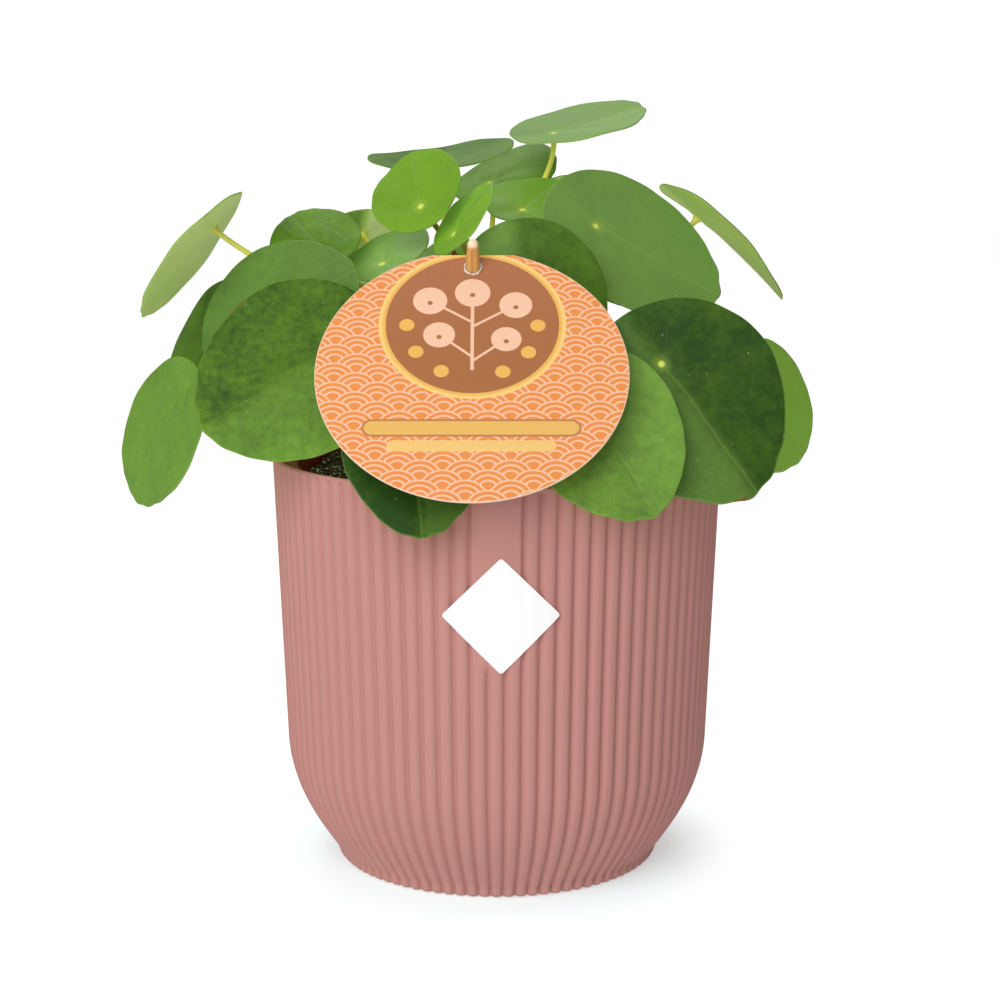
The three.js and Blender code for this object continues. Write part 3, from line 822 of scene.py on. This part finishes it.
def stem_bark(settings):
    material, tree, shader = new_material("stem_bark", Roughness=0.7)
    place = object_place(tree)
    streaks = grain(tree, place, 260, 5, 0.6)
    young = split(tree, place)[2].ramp(150 * MM, 178 * MM)
    tint = mixed(tree, streaks.ramp(0.35, 0.7), settings.bark, paint(66, 48, 30))
    tint = mixed(tree, young, tint, paint(118, 140, 58))
    finish_shader(tree, shader, tint, raise_surface(tree, streaks, 0.5))
    return material


def make_stem(settings):
    """The upright woody stem, knobbly with the scars of old leaf stalks and tipped with a bud."""
    low, top = STEM_HEIGHTS
    count, rows = 48, 110
    turns = full_turn(count)
    scars = [(math.radians(GOLDEN_TURN * k), low + 4 + 5.2 * k, 0.9) for k in range(12)]
    for leaf in LEAVES:
        away = leaf.spot[:2] - STEM_SPOT
        scars.append((math.atan2(away[0], -away[1]), leaf.root_height - 1, 1.1))
    rings = []
    for z in np.linspace(low, top + 3.2, rows):
        share = (z - low) / (top - low)
        radius = np.interp(share, (0, 1), STEM_RADII) * min(1, max(0.35, (top + 4.2 - z) / 6))
        bulge = np.zeros(count)
        for turn, height, size in scars:
            off = (turns - turn + math.pi) % TURN - math.pi
            bulge += size * np.exp(-(off * 5 / 2.2) ** 2 - ((z - height) / 2.1) ** 2)
        bulge += 0.25 * math.sin(z * 1.9) + 0.2 * np.sin(turns * 5 + z * 0.3)
        reach = radius + np.minimum(bulge, 1.4)
        rings.append(circle(reach, z, count) + (*STEM_SPOT, 0))
    body = ring_body(rings, (*STEM_SPOT, low), (*STEM_SPOT, top + 3.9))
    piece = make_mesh("woody_stem", [body], [stem_bark(settings)])
    finish_piece(piece, "stem_bark", "main_stem")


def leaf_skin(settings):
    """Both sides of a blade, from the marks blade_place, leaf_look, underside and dot."""
    material, tree, shader = new_material("leaf_skin", Specular_IOR_Level=0.09)
    across, along, share = split(tree, attribute(tree, "blade_place")["Vector"])
    tone, mottle, painted_sheen = split(tree, attribute(tree, "leaf_look")["Vector"])
    under = Quantity(tree, attribute(tree, "underside")["Fac"])
    place = object_place(tree)
    reach = length_of(across, along)
    turn = across.math("ARCTAN2", along)
    wander = grain(tree, place, 55, 2) - 0.5
    fan = turn * (BLADE_VEINS / TURN) + wander * 1.1
    from_vein = (0.5 - abs(fan.math("FRACT") - 0.5)) * reach * (TURN / BLADE_VEINS)
    veins = from_vein.ramp(0.5, 0.08) * share.ramp(0.12, 0.4) * share.ramp(0.95, 0.6)
    midrib = abs(across + wander * 3).ramp(0.7, 0.1) * along.ramp(0.5, 3)
    cells = add_node(
        tree, "ShaderNodeTexVoronoi", {"Vector": place, "Scale": 330.0}, feature="DISTANCE_TO_EDGE")
    net = Quantity(tree, cells.outputs["Distance"]).ramp(0.09, 0.0)
    patches = grain(tree, place, 60, 3, 0.6)
    fan_place = joined(tree, across / reach * 7, along / reach * 7, reach * 0.12 + tone * 50)
    mottling = grain(tree, fan_place, 1.6, 5, 0.7) * 0.35 + grain(tree, place, 400, 4, 0.7) * 0.65
    shade = tone + (patches - 0.5) * 0.35 + (mottling - 0.5) * (mottle * 1.1 + 0.25)
    shade = shade + (wander + 0.1) * mottle * share
    tint = mixed(tree, shade.math("MAXIMUM", 0).math("MINIMUM", 1), settings.dark, settings.bright)
    # Painted sheen: the upper side is mixed towards pale grey-green, standing in for light reflected off the
    # blade.
    tint = mixed(tree, painted_sheen * 0.6, tint, paint(138, 172, 112))
    tint = mixed(tree, veins * 0.02 + midrib * (1 - mottle) * 0.18, tint, settings.rim)
    below = mixed(tree, patches * 0.4 + net * 0.25 + veins * 0.3, settings.underside, paint(216, 232, 156))
    below = mixed(tree, (0.4 - tone * 0.55).math("MAXIMUM", 0), below, paint(86, 124, 52))
    # Painted sheen on the underside too: it is mixed towards pale grey.
    below = mixed(tree, painted_sheen * 0.6, below, paint(206, 220, 176))
    tint = mixed(tree, under, tint, below)
    dot = Quantity(tree, attribute(tree, "dot")["Fac"])
    halo = reach.ramp(4, 0.8) * 0.14 + reach.ramp(1.5, 0.2)
    tint = mixed(tree, (halo * dot).math("MINIMUM", 1), tint, settings.spot)
    tint = mixed(tree, share.ramp(0.986, 0.999) * 0.4, tint, settings.rim)
    rust = grain(tree, place, 95, 2).ramp(0.69, 0.73) * share.ramp(0.965, 0.99)
    tint = mixed(tree, rust * 0.8, tint, paint(128, 82, 44))
    flecks = grain(tree, place, 820, 1).ramp(0.79, 0.815)
    tint = mixed(tree, flecks * 0.5, tint, paint(208, 220, 176))
    height = 0.5 - veins * 0.1 - midrib * 0.4 - net * 0.05 + mottling * (mottle * 0.7 + 0.1)
    roughness = 0.36 + patches * 0.16 + under * 0.15
    finish_shader(tree, shader, tint, raise_surface(tree, height, 0.22), roughness)
    # Painted glow: the underside gives off light in its own colour, standing in for light shining through
    # the blade.
    connect(tree, shader.inputs["Emission Color"], tint)
    connect(tree, shader.inputs["Emission Strength"], under * PAINTED_GLOW_THROUGH_BLADE)
    return material


def stalk_skin(settings):
    """A leaf stalk, brown or green by its mark ruddy and paler towards the blade."""
    material, tree, shader = new_material("stalk_skin", Roughness=0.38)
    ruddy = Quantity(tree, attribute(tree, "ruddy")["Fac"])
    along = Quantity(tree, attribute(tree, "stalk_along")["Fac"])
    place = object_place(tree)
    streaks = grain(tree, place, 300, 3)
    brown = ruddy * 1.15 - along.ramp(0.55, 1.0) * ruddy * 0.8 + (streaks - 0.5) * 0.35
    brown = brown.math("MAXIMUM", 0).math("MINIMUM", 1)
    tint = mixed(tree, brown, settings.stalk, settings.stalk_brown)
    finish_shader(tree, shader, tint, raise_surface(tree, streaks, 0.12))
    return material


def leaf_frame(leaf):
    """The leaf's own directions: across the blade, towards its tip, and out of its upper side."""
    normal = leaf.normal
    uphill = np.array([0, 0, 1]) - normal[2] * normal
    downhill = -uphill / np.linalg.norm(uphill)
    side = np.cross(normal, downhill)
    tip = math.cos(leaf.turn) * downhill + math.sin(leaf.turn) * side
    return np.cross(tip, normal), tip, normal


def blade_edge(leaf, angles):
    """The blade's outline about its spot, for angles from the tip."""
    middle = leaf.length * (0.5 - leaf.base)
    pointed = leaf.point * leaf.length * np.maximum(0, np.cos(angles)) ** 6
    uneven = 1 + 0.006 * np.sin(3 * angles + leaf.seed) + 0.004 * np.sin(7 * angles + 2 * leaf.seed)
    uneven += 0.003 * np.sin(16 * angles + 3 * leaf.seed)
    uneven += 0.006 * np.sin(19 * angles + leaf.seed) * np.maximum(0, np.cos(angles)) ** 2
    across = leaf.width / 2 * np.sin(angles) * (1 - BLADE_TAPER * np.cos(angles)) * uneven
    return across, (middle + leaf.length / 2 * np.cos(angles) + pointed) * uneven


def blade_drop(leaf, across, along):
    """How far the blade sags below its level at a point."""
    tip, side, twist = leaf.sag
    a = across / (leaf.width / 2)
    b = along / (leaf.length * (1 - BLADE_BASE))
    return tip * b ** 2 + side * a ** 2 + twist * a * b


def blade_body(leaf, thickness, ripple):
    """The blade: a thin closed sheet with a dimple at its spot, soft folds and a round edge."""
    count = 112
    angles = -full_turn(count)
    edge_across, edge_along = blade_edge(leaf, angles)
    axes = np.array(leaf_frame(leaf))
    shares = [0.03, 0.07, 0.12, 0.19, 0.27, 0.36, 0.46, 0.56, 0.66, 0.75, 0.83, 0.9, 0.95, 0.985]
    levels = [(share, -1.0) for share in shares] + [(0.996, -0.85), (1.0, -0.5), (0.996, -0.15)]
    levels += [(share, 0.0) for share in reversed(shares)]
    rings, marks, under = [], [], []
    for share, level in levels:
        across, along = edge_across * share, edge_along * share
        reach = np.hypot(across, along)
        wave = np.sin(3 * angles + leaf.seed) + 0.6 * np.sin(7 * angles + 3 * leaf.seed)
        wave = ripple * share ** 3 * wave
        folds = 0.14 * share * (1 - share) * 4 * np.sin(5 * angles + leaf.seed)
        dimple = BLADE_DIMPLE * np.exp(-(reach / 3.5) ** 2)
        height = -blade_drop(leaf, across, along) + wave + folds - dimple + level * thickness
        rings.append(leaf.spot + np.stack([across, along, height], 1) @ axes)
        marks.append(np.stack([across, along, np.full(count, share)], 1))
        under.append(np.full(count, max(0.0, -2 * level - 1)))
    low = leaf.spot - (BLADE_DIMPLE + thickness) * leaf.normal
    top = leaf.spot - BLADE_DIMPLE * leaf.normal
    place = np.vstack([*marks, np.zeros((2, 3))])
    underside = np.append(np.concatenate(under), (1, 0))
    looks = np.tile(leaf.look, (len(place), 1))
    # Painted light and shade: the blade is brighter and greyer on one side of its midrib and darker on the
    # other.
    painted_light_halves = np.where(underside > 0, leaf.painted_light_halves, np.clip(leaf.painted_light_halves, -UPPER_PAINTED_LIGHT_HALVES, UPPER_PAINTED_LIGHT_HALVES))
    side = painted_light_halves * np.clip(place[:, 0] / 2.5, -1, 1)
    looks[:, 0] += side
    looks[:, 2] = np.clip(looks[:, 2] + 1.6 * side, 0, 1)
    dot = np.full(len(place), leaf.dot)
    return ring_body(
        rings, low, top, blade_place=place, leaf_look=looks, dot=dot, underside=underside)


def stalk_body(leaf, thickness):
    """The leaf stalk: it swells where it leaves the stem and flares where it meets the blade."""
    root = np.array([*STEM_SPOT, leaf.root_height], float)
    spot = leaf.spot - leaf.normal * (BLADE_DIMPLE + thickness * 0.6)
    reach = np.linalg.norm(spot - root)
    turn = math.degrees(math.atan2(spot[0] - root[0], -(spot[1] - root[1])))
    leaving = root + direction(turn + leaf.swerve, leaf.rise) * reach * 0.4
    arriving = spot - leaf.normal * reach * 0.25
    steps, count = 44, 14
    places, headings = bezier((root, leaving, arriving, spot), steps)
    angles = full_turn(count)
    side = np.cross(headings[0], (0.31, 0.87, 0.39))
    rings = []
    for step, (place, heading) in enumerate(zip(places, headings)):
        side = side - heading * side.dot(heading)
        side /= np.linalg.norm(side)
        other = np.cross(heading, side)
        from_root = reach * step / steps
        to_blade = reach - from_root
        radius = STALK_RADIUS + 0.7 * math.exp(-(from_root / 9) ** 2) + 0.9 * math.exp(-to_blade / 1.1)
        rings.append(place + radius * round_about(angles, side, other))
    along = np.append(np.repeat(np.linspace(0, 1, steps + 1), count), (0, 1))
    ruddy = np.full(len(along), leaf.ruddy)
    return ring_body(rings, places[0], places[-1], slot=1, stalk_along=along, ruddy=ruddy)


def make_leaves(settings):
    """Each leaf's blade and stalk as one piece."""
    skins = [leaf_skin(settings), stalk_skin(settings)]
    thickness, ripple = settings.thickness / MM, settings.ripple / MM
    for leaf in LEAVES:
        bodies = [blade_body(leaf, thickness, ripple), stalk_body(leaf, thickness)]
        piece = make_mesh(leaf.name.replace("leaf_", "fresh_leaf_"), bodies, skins, crease=80)
        finish_piece(piece, "leaf_green", leaf.name)


def card_point(x, y, z):
    """A point of the card's own frame, x right, y up the card and z out of its face."""
    lean = math.radians(CARD_FACES_UP)
    up = np.array([0, math.sin(lean), math.cos(lean)])
    return np.array(CARD_MIDDLE) + x * np.array([1, 0, 0]) + y * up + z * direction(0, CARD_FACES_UP)


def distance_to_run(x, y, start, end):
    """Distance from the point x, y to the straight run between two others."""
    run = (end[0] - start[0], end[1] - start[1])
    share = ((x - start[0]) * run[0] + (y - start[1]) * run[1]) / (run[0] ** 2 + run[1] ** 2)
    share = share.math("MAXIMUM", 0).math("MINIMUM", 1)
    return length_of(x - start[0] - share * run[0], y - start[1] - share * run[1])


def nearest(distances):
    """The least of some quantities."""
    least = distances[0]
    for distance in distances[1:]:
        least = least.math("MINIMUM", distance)
    return least


def wave_lines(x, y, spacing, rise):
    """1 on the lines of overlapping fans of waves, 0 between them."""
    radius = spacing / 2
    found = None
    row = ((y - radius) / rise).math("FLOOR") + 1
    for step in range(4, -1, -1):
        this_row = row + step
        shift = this_row.math("FLOORED_MODULO", 2) * (spacing / 2)
        column = ((x - shift) / spacing).math("ROUND") * spacing + shift
        away = length_of(x - column, y - this_row * rise)
        inside = away.math("LESS_THAN", radius)
        found = away if found is None else inside * away + (1 - inside) * found
    from_line = nearest([abs(found - radius * share) for share in (0.96, 0.69, 0.4)])
    return from_line.ramp(radius * 0.06, radius * 0.042)


def sprig_shapes(x, y):
    """Distances to a sprig of round leaves, to the spots on them and to the dots round it."""
    blades = [(0, 28, 5.2), (-12.4, 25, 5), (12.6, 23.4, 4.8), (-9.6, 12.4, 4.6), (9.8, 10.8, 4.4)]
    dots = [(-19, 16), (-16.2, 6.2), (-8.8, -0.8), (8.8, -1), (16.2, 6), (19, 15.8)]
    sprig = [distance_to_run(x, y, (0, 0), (0, 28)) - 0.5]
    for across, up, radius in blades:
        sprig.append(length_of(x - across, y - up) - radius)
        if across:
            sprig.append(distance_to_run(x, y, (0, up - 8), (across, up)) - 0.4)
    spots = [length_of(x - across, y - up + 0.8) - 0.75 for across, up, _ in blades]
    dots = [length_of(x - across, y - up) - 2.2 for across, up in dots]
    return nearest(sprig), nearest(spots), nearest(dots)


def printed(tree, distance, under, ink, blur=PRINT_BLUR):
    """Ink over a colour where a distance from the inked shape is below 0."""
    return mixed(tree, distance.ramp(blur, -blur), under, ink)


def card_print(settings):
    """The card's face: fans of waves, a round brown panel in a gold ring and two blank bars."""
    material, tree, shader = new_material("card_print", Roughness=0.42)
    x, y, _ = split(tree, local_place(tree, CARD_MIDDLE, (90 - CARD_FACES_UP, 0, 0)))
    fibre = grain(tree, object_place(tree), 1600, 3)
    lines = wave_lines(x + 1.6, y + 3, settings.wave_spacing / MM, settings.wave_rise / MM)
    tint = mixed(tree, lines * 0.9, settings.orange, settings.peach)
    for middle, half, radius, inner, outline, fill in (
        (-19.8, 27.9, 3, 2.35, paint(196, 128, 80), paint(240, 190, 100)),
        (-26, 21.8, 1.9, 1.6, paint(250, 204, 122), paint(250, 204, 122)),
    ):
        away = distance_to_run(x, y, (-half, middle), (half, middle))
        tint = printed(tree, away - radius, tint, outline)
        tint = printed(tree, away - inner, tint, fill)
    from_panel = length_of(x, y - PANEL_UP)
    ring = mixed(tree, from_panel.ramp(25.6, 26.6), settings.gold, paint(255, 214, 128))
    tint = printed(tree, from_panel - PANEL_RING_RADIUS, tint, ring, PANEL_BLUR)
    warm = mixed(tree, y.ramp(0, 42), settings.brown, paint(184, 116, 76))
    panel = mixed(tree, fibre.ramp(0.3, 0.7) * 0.3, warm, paint(166, 106, 62))
    tint = printed(tree, from_panel - PANEL_RADIUS, tint, panel, PANEL_BLUR)
    for shape, ink in zip(sprig_shapes(x, y - 1), (settings.peach, settings.brown, settings.gold)):
        tint = printed(tree, shape, tint, ink)
    edge = length_of(x, y).ramp(CARD_RADIUS - 0.3, CARD_RADIUS - 0.18)
    tint = mixed(tree, edge, tint, paint(253, 212, 182))
    finish_shader(tree, shader, tint, raise_surface(tree, fibre, 0.02), fibre * 0.12 + 0.36)
    return material


def plain_paper(name, colour, roughness):
    material, tree, shader = new_material(name)
    place = object_place(tree)
    fibre = grain(tree, place, 1300, 4, 0.6)
    tint = mixed(tree, fibre.ramp(0.4, 0.8) * 0.04, colour, paint(226, 222, 214))
    finish_shader(tree, shader, tint, raise_surface(tree, fibre, 0.03), fibre * 0.1 + roughness)
    return material


def card_outline(angle, start):
    """Where a ray from a point of the card leaves it: a circle, cut flat at the top."""
    dx, dy = math.sin(angle), -math.cos(angle)
    b = start[0] * dx + start[1] * dy
    reach = -b + math.sqrt(b * b - start[0] ** 2 - start[1] ** 2 + CARD_RADIUS ** 2)
    if dy > 1e-6:
        reach = min(reach, (CARD_FLAT - start[1]) / dy)
    return start[0] + reach * dx, start[1] + reach * dy


def make_card(settings):
    """The card: a thin disc with a hole near its top for the pick, printed on one side."""
    angles = full_turn(360)
    lean = 1 / math.cos(math.radians(90 - CARD_FACES_UP - PICK_LEAN))
    inner = np.array([
        (HOLE_RADIUS * math.sin(a), HOLE_UP - HOLE_RADIUS * lean * math.cos(a)) for a in angles])
    outer = np.array([card_outline(a, (0.0, HOLE_UP)) for a in angles])
    shares = (0, 0.05, 0.15, 0.3, 0.5, 0.7, 0.85, 0.95, 1)
    layers = [(share, CARD_THICKNESS) for share in shares]
    layers += [(1, CARD_THICKNESS - CARD_BEVEL), (1, CARD_BEVEL)]
    layers += [(share, 0) for share in reversed(shares)]
    rings = []
    for share, depth in layers:
        bevelled = share == 1 and depth in (0, CARD_THICKNESS)
        flat = (inner + (outer - inner) * share) * (1 - (CARD_BEVEL_IN if bevelled else 0) / CARD_RADIUS)
        rings.append([card_point(x, y, -depth) for x, y in flat])
    body = ring_body(rings, closed_round=True)
    papers = [card_print(settings), plain_paper("card_back", paint(250, 220, 200), 0.5)]
    piece = make_mesh("printed_card", [body], papers, crease=35)
    out = Vector(direction(0, CARD_FACES_UP))
    for face in piece.data.polygons:
        face.material_index = 0 if face.normal.dot(out) > 0.5 else 1
    finish_piece(piece, "card_print", "plant_card")


def pick_wood(settings):
    material, tree, shader = new_material("pick_wood", Roughness=0.6)
    x, y, z = split(tree, local_place(tree, card_point(0, HOLE_UP, 0), (PICK_LEAN, 0, 0)))
    stretched = joined(tree, x * 2.2, y * 2.2, z * 0.16)
    fibres = grain(tree, stretched, 1.0, 4, 0.6)
    streak = abs(x + 0.25 + (fibres - 0.5) * 1.2).ramp(0.75, 0.1) * z.ramp(7.6, 5.0)
    tint = mixed(tree, fibres.ramp(0.3, 0.7), settings.wood, paint(206, 146, 66))
    tint = mixed(tree, streak * 0.75, tint, paint(186, 112, 34))
    tint = mixed(tree, z.ramp(PICK_PAST_CARD - 2.4, PICK_PAST_CARD - 1.2), tint, paint(253, 232, 196))
    finish_shader(tree, shader, tint, raise_surface(tree, fibres, 0.25))
    return material


def make_pick(settings):
    """The round wooden pick, through the card's hole and into the soil."""
    hole = card_point(0, HOLE_UP, 0)
    lean = math.radians(PICK_LEAN)
    up = np.array([0, -math.sin(lean), math.cos(lean)])
    ahead = np.array([0, -math.cos(lean), -math.sin(lean)])
    right = np.array([1.0, 0, 0])
    low = -((hole[2] - SOIL_LEVEL) / math.cos(lean) + PICK_IN_SOIL)
    profile = [(low, PICK_TIP)] + [(height, PICK_RADIUS) for height in (low + 12, -20, -8)]
    for below_end, radius in ((12, PICK_RADIUS), (8, 2.16), (4, 1.88), (1.3, 1.6), (0.5, 1.42), (0, 0.9)):
        profile.append((PICK_PAST_CARD - below_end, radius))
    turns = full_turn(40)
    rings = []
    for height, radius in profile:
        uneven = radius * (1 + 0.02 * np.sin(3 * turns + height * 0.4) + 0.012 * np.sin(8 * turns))
        rings.append(hole + height * up + uneven[:, None] * round_about(turns, ahead, right))
    body = ring_body(rings, hole + low * up, hole + PICK_PAST_CARD * up)
    piece = make_mesh("wooden_pick", [body], [pick_wood(settings)], crease=40)
    finish_piece(piece, "pick_wood", "card_pick")


def make_frayed_hole():
    """The scuffed paper that the pick pushed up round its hole, mostly below it."""
    angles = full_turn(72)
    low_side = 0.5 + 0.5 * np.cos(angles)
    torn = 2.5 + low_side * (0.26 + 0.2 * np.sin(5 * angles) + 0.16 * np.sin(11 * angles + 1))
    lift = 0.2 + low_side * (0.3 + 0.2 * np.sin(5 * angles + 2) + 0.12 * np.sin(19 * angles))
    profile = [(2.32, 0.15), (2.6, 0.1), (torn, 0.12), (torn + 0.05, lift), (2.65, lift + 0.12), (2.32, 0.5)]
    rings = []
    for radius, height in profile:
        radii, heights = np.broadcast_to(radius, angles.shape), np.broadcast_to(height, angles.shape)
        rings.append([
            card_point(r * math.sin(a), HOLE_UP - r * 1.12 * math.cos(a), h)
            for a, r, h in zip(angles, radii, heights)])
    paper = plain_paper("torn_paper", paint(226, 214, 206), 0.8)
    piece = make_mesh("frayed_hole", [ring_body(rings, closed_round=True)], [paper])
    finish_piece(piece, "card_print")


def round_cornered_square(side, corner, steps):
    """Points round a square with rounded corners, anticlockwise from its lower right corner."""
    cut = side / 2 - corner
    outline = []
    for k, (a, b) in enumerate(((1, -1), (1, 1), (-1, 1), (-1, -1))):
        for j in range(6):
            turn = (k - 1 + j / 5) * TURN / 4
            outline.append((cut * a + corner * math.cos(turn), cut * b + corner * math.sin(turn)))
        start, turn = outline[-1], k * TURN / 4
        for j in range(1, steps):
            run = 2 * cut * j / steps
            outline.append((start[0] - math.sin(turn) * run, start[1] + math.cos(turn) * run))
    return outline


def sticker_point(u, v, out):
    """A point of the sticker, from its middle along two sides of its square and out of the wall."""
    across, up = (u - v) / math.sqrt(2), (u + v) / math.sqrt(2)
    height = STICKER_HEIGHT + up
    turn = math.radians(STICKER_TURN) + across / wall_radius(STICKER_HEIGHT)
    on_strip = height >= STRIP_LOW_END and abs(turn) <= STRIP_HALF_TURN
    settle = STICKER_SETTLE if on_strip else STICKER_SETTLE * math.cos(RIB_COUNT * turn)
    radius = wall_radius(height) + STICKER_CLEAR + out + settle
    return radius * math.sin(turn), -radius * math.cos(turn), height


def make_sticker(settings):
    """The bare sticker: a square on its corner, wrapped over the ribs' crests."""
    outline = round_cornered_square(STICKER_SIDE, STICKER_CORNER, 22)
    shares = np.linspace(0.06, 1, 16)
    layers = [(share, 0) for share in shares] + [(share, STICKER_THICKNESS) for share in reversed(shares)]
    rings = [[sticker_point(u * share, v * share, out) for u, v in outline] for share, out in layers]
    body = ring_body(rings, sticker_point(0, 0, 0), sticker_point(0, 0, STICKER_THICKNESS))
    paper = plain_paper("sticker_paper", settings.paper, 0.38)
    piece = make_mesh("bare_sticker", [body], [paper])
    finish_piece(piece, "sticker_paper", "sticker")


def floor_finish(settings):
    material, tree, shader = new_material("floor_finish", Roughness=0.85, Specular_IOR_Level=0.1)
    place = object_place(tree)
    x, y, _ = split(tree, place)
    far = length_of(x, y).ramp(FLOOR_FADE[0] * MM, FLOOR_FADE[1] * MM)
    # The cyan floor colour near the pot is painted to cancel the planter's pink reflected light.
    finish_shader(tree, shader, mixed(tree, far, settings.floor, paint(120, 120, 120)))
    seen = Quantity(tree, tree.nodes.new("ShaderNodeLightPath").outputs["Is Camera Ray"])
    glow = (0.4 + far * 0.56) * (seen * (1 - FLOOR_BOUNCE) + FLOOR_BOUNCE)
    connect(tree, shader.inputs["Emission Color"], (1, 1, 1, 1))
    connect(tree, shader.inputs["Emission Strength"], glow)
    return material


def add_light(name, place, aim, power, size):
    """A square soft light. Its place, its aim and its size are in metres."""
    light = bpy.data.lights.new(name, "AREA")
    light.energy = power
    light.size = size
    lamp = bpy.data.objects.new(name, light)
    bpy.context.scene.collection.objects.link(lamp)
    lamp.location = place
    lamp.rotation_euler = (Vector(aim) - Vector(place)).to_track_quat("-Z", "Y").to_euler()


def make_studio(settings):
    """Plain pale floor, soft light from the upper left and the photograph's camera."""
    signs = ((-1, -1), (1, -1), (1, 1), (-1, 1))
    corners = [(x * FLOOR_HALF, y * FLOOR_HALF, FLOOR_UP) for x, y in signs]
    floor = make_mesh("plain_floor", [Body(corners, [[0, 1, 2, 3]])], [floor_finish(settings)])

    scene = bpy.context.scene
    scene.view_settings.view_transform = "Standard"
    world = bpy.data.worlds.new("studio_room")
    world.use_nodes = True
    tree = world.node_tree
    tree.nodes.clear()
    lit, seen = (
        add_node(tree, "ShaderNodeBackground", {"Color": (1, 1, 1, 1), "Strength": strength}).outputs[0]
        for strength in (settings.room_light, 1.05)
    )
    ray = tree.nodes.new("ShaderNodeLightPath").outputs["Is Camera Ray"]
    both = add_node(tree, "ShaderNodeMixShader", {0: ray, 1: lit, 2: seen})
    add_node(tree, "ShaderNodeOutputWorld", {0: both.outputs[0]})
    scene.world = world

    add_light("key_light", (-0.4, -1, 0.72), aim=(0, 0, 0.13), power=settings.key_power, size=1.2)
    add_light("top_light", (-0.1, 0.55, 0.9), aim=(0, 0, 0.16), power=settings.fill_power, size=0.7)

    lens = bpy.data.cameras.new("photo_camera")
    lens.lens = CAMERA_LENS
    lens.sensor_width = 36
    camera = bpy.data.objects.new("photo_camera", lens)
    scene.collection.objects.link(camera)
    camera.location = Vector(CAMERA_PLACE) * MM
    camera.rotation_euler = (math.radians(CAMERA_PITCH), 0, 0)
    scene.camera = camera


class AddPlanter(bpy.types.Operator):
    """Adds the ribbed planter and the nursery pot in it"""

    bl_idname = "money_plant.add_planter"
    bl_label = "Planter and Nursery Pot"

    def execute(self, context):
        settings = context.scene.money_plant.planter
        make_planter(settings)
        make_nursery_pot(settings)
        return {"FINISHED"}


class AddSoil(bpy.types.Operator):
    """Adds the soil with its crumbs and pale grains"""

    bl_idname = "money_plant.add_soil"
    bl_label = "Soil"

    def execute(self, context):
        make_soil(context.scene.money_plant.soil)
        return {"FINISHED"}


class AddStem(bpy.types.Operator):
    """Adds the woody main stem"""

    bl_idname = "money_plant.add_stem"
    bl_label = "Main Stem"

    def execute(self, context):
        make_stem(context.scene.money_plant.leaves)
        return {"FINISHED"}


class AddLeaves(bpy.types.Operator):
    """Adds every leaf with its stalk"""

    bl_idname = "money_plant.add_leaves"
    bl_label = "Leaves"

    def execute(self, context):
        make_leaves(context.scene.money_plant.leaves)
        return {"FINISHED"}


class AddCard(bpy.types.Operator):
    """Adds the round plant card, its wooden pick and the torn paper round the pick"""

    bl_idname = "money_plant.add_card"
    bl_label = "Card and Pick"

    def execute(self, context):
        settings = context.scene.money_plant.card
        make_card(settings)
        make_pick(settings)
        make_frayed_hole()
        return {"FINISHED"}


class AddSticker(bpy.types.Operator):
    """Adds the bare sticker on the planter's front"""

    bl_idname = "money_plant.add_sticker"
    bl_label = "Sticker"

    def execute(self, context):
        make_sticker(context.scene.money_plant.card)
        return {"FINISHED"}


class AddStudio(bpy.types.Operator):
    """Adds the floor, the lights and the camera"""

    bl_idname = "money_plant.add_studio"
    bl_label = "Studio"

    def execute(self, context):
        make_studio(context.scene.money_plant.studio)
        return {"FINISHED"}


class MoneyPlantPanel(bpy.types.Panel):
    """Lists the plant's pieces and its studio"""

    bl_idname = "VIEW3D_PT_money_plant"
    bl_label = "Money Plant"
    bl_space_type = "VIEW_3D"
    bl_region_type = "UI"
    bl_category = "Money Plant"

    def draw(self, context):
        for operator in OPERATORS:
            self.layout.operator(operator.bl_idname)


OPERATORS = (AddPlanter, AddSoil, AddStem, AddLeaves, AddCard, AddSticker, AddStudio)
CLASSES = (PlanterSettings, SoilSettings, LeafSettings, CardSettings, StudioSettings, MoneyPlantSettings,
           *OPERATORS, MoneyPlantPanel)


def register():
    for kind in CLASSES:
        bpy.utils.register_class(kind)
    bpy.types.Scene.money_plant = bpy.props.PointerProperty(
        type=MoneyPlantSettings, name="Money Plant", description="Sizes and colours of the potted plant")


def unregister():
    del bpy.types.Scene.money_plant
    for kind in reversed(CLASSES):
        bpy.utils.unregister_class(kind)


def main():
    register()
    bpy.ops.money_plant.add_planter()
    bpy.ops.money_plant.add_soil()
    bpy.ops.money_plant.add_stem()
    bpy.ops.money_plant.add_leaves()
    bpy.ops.money_plant.add_card()
    bpy.ops.money_plant.add_sticker()
    bpy.ops.money_plant.add_studio()


if __name__ == "__main__":
    main()
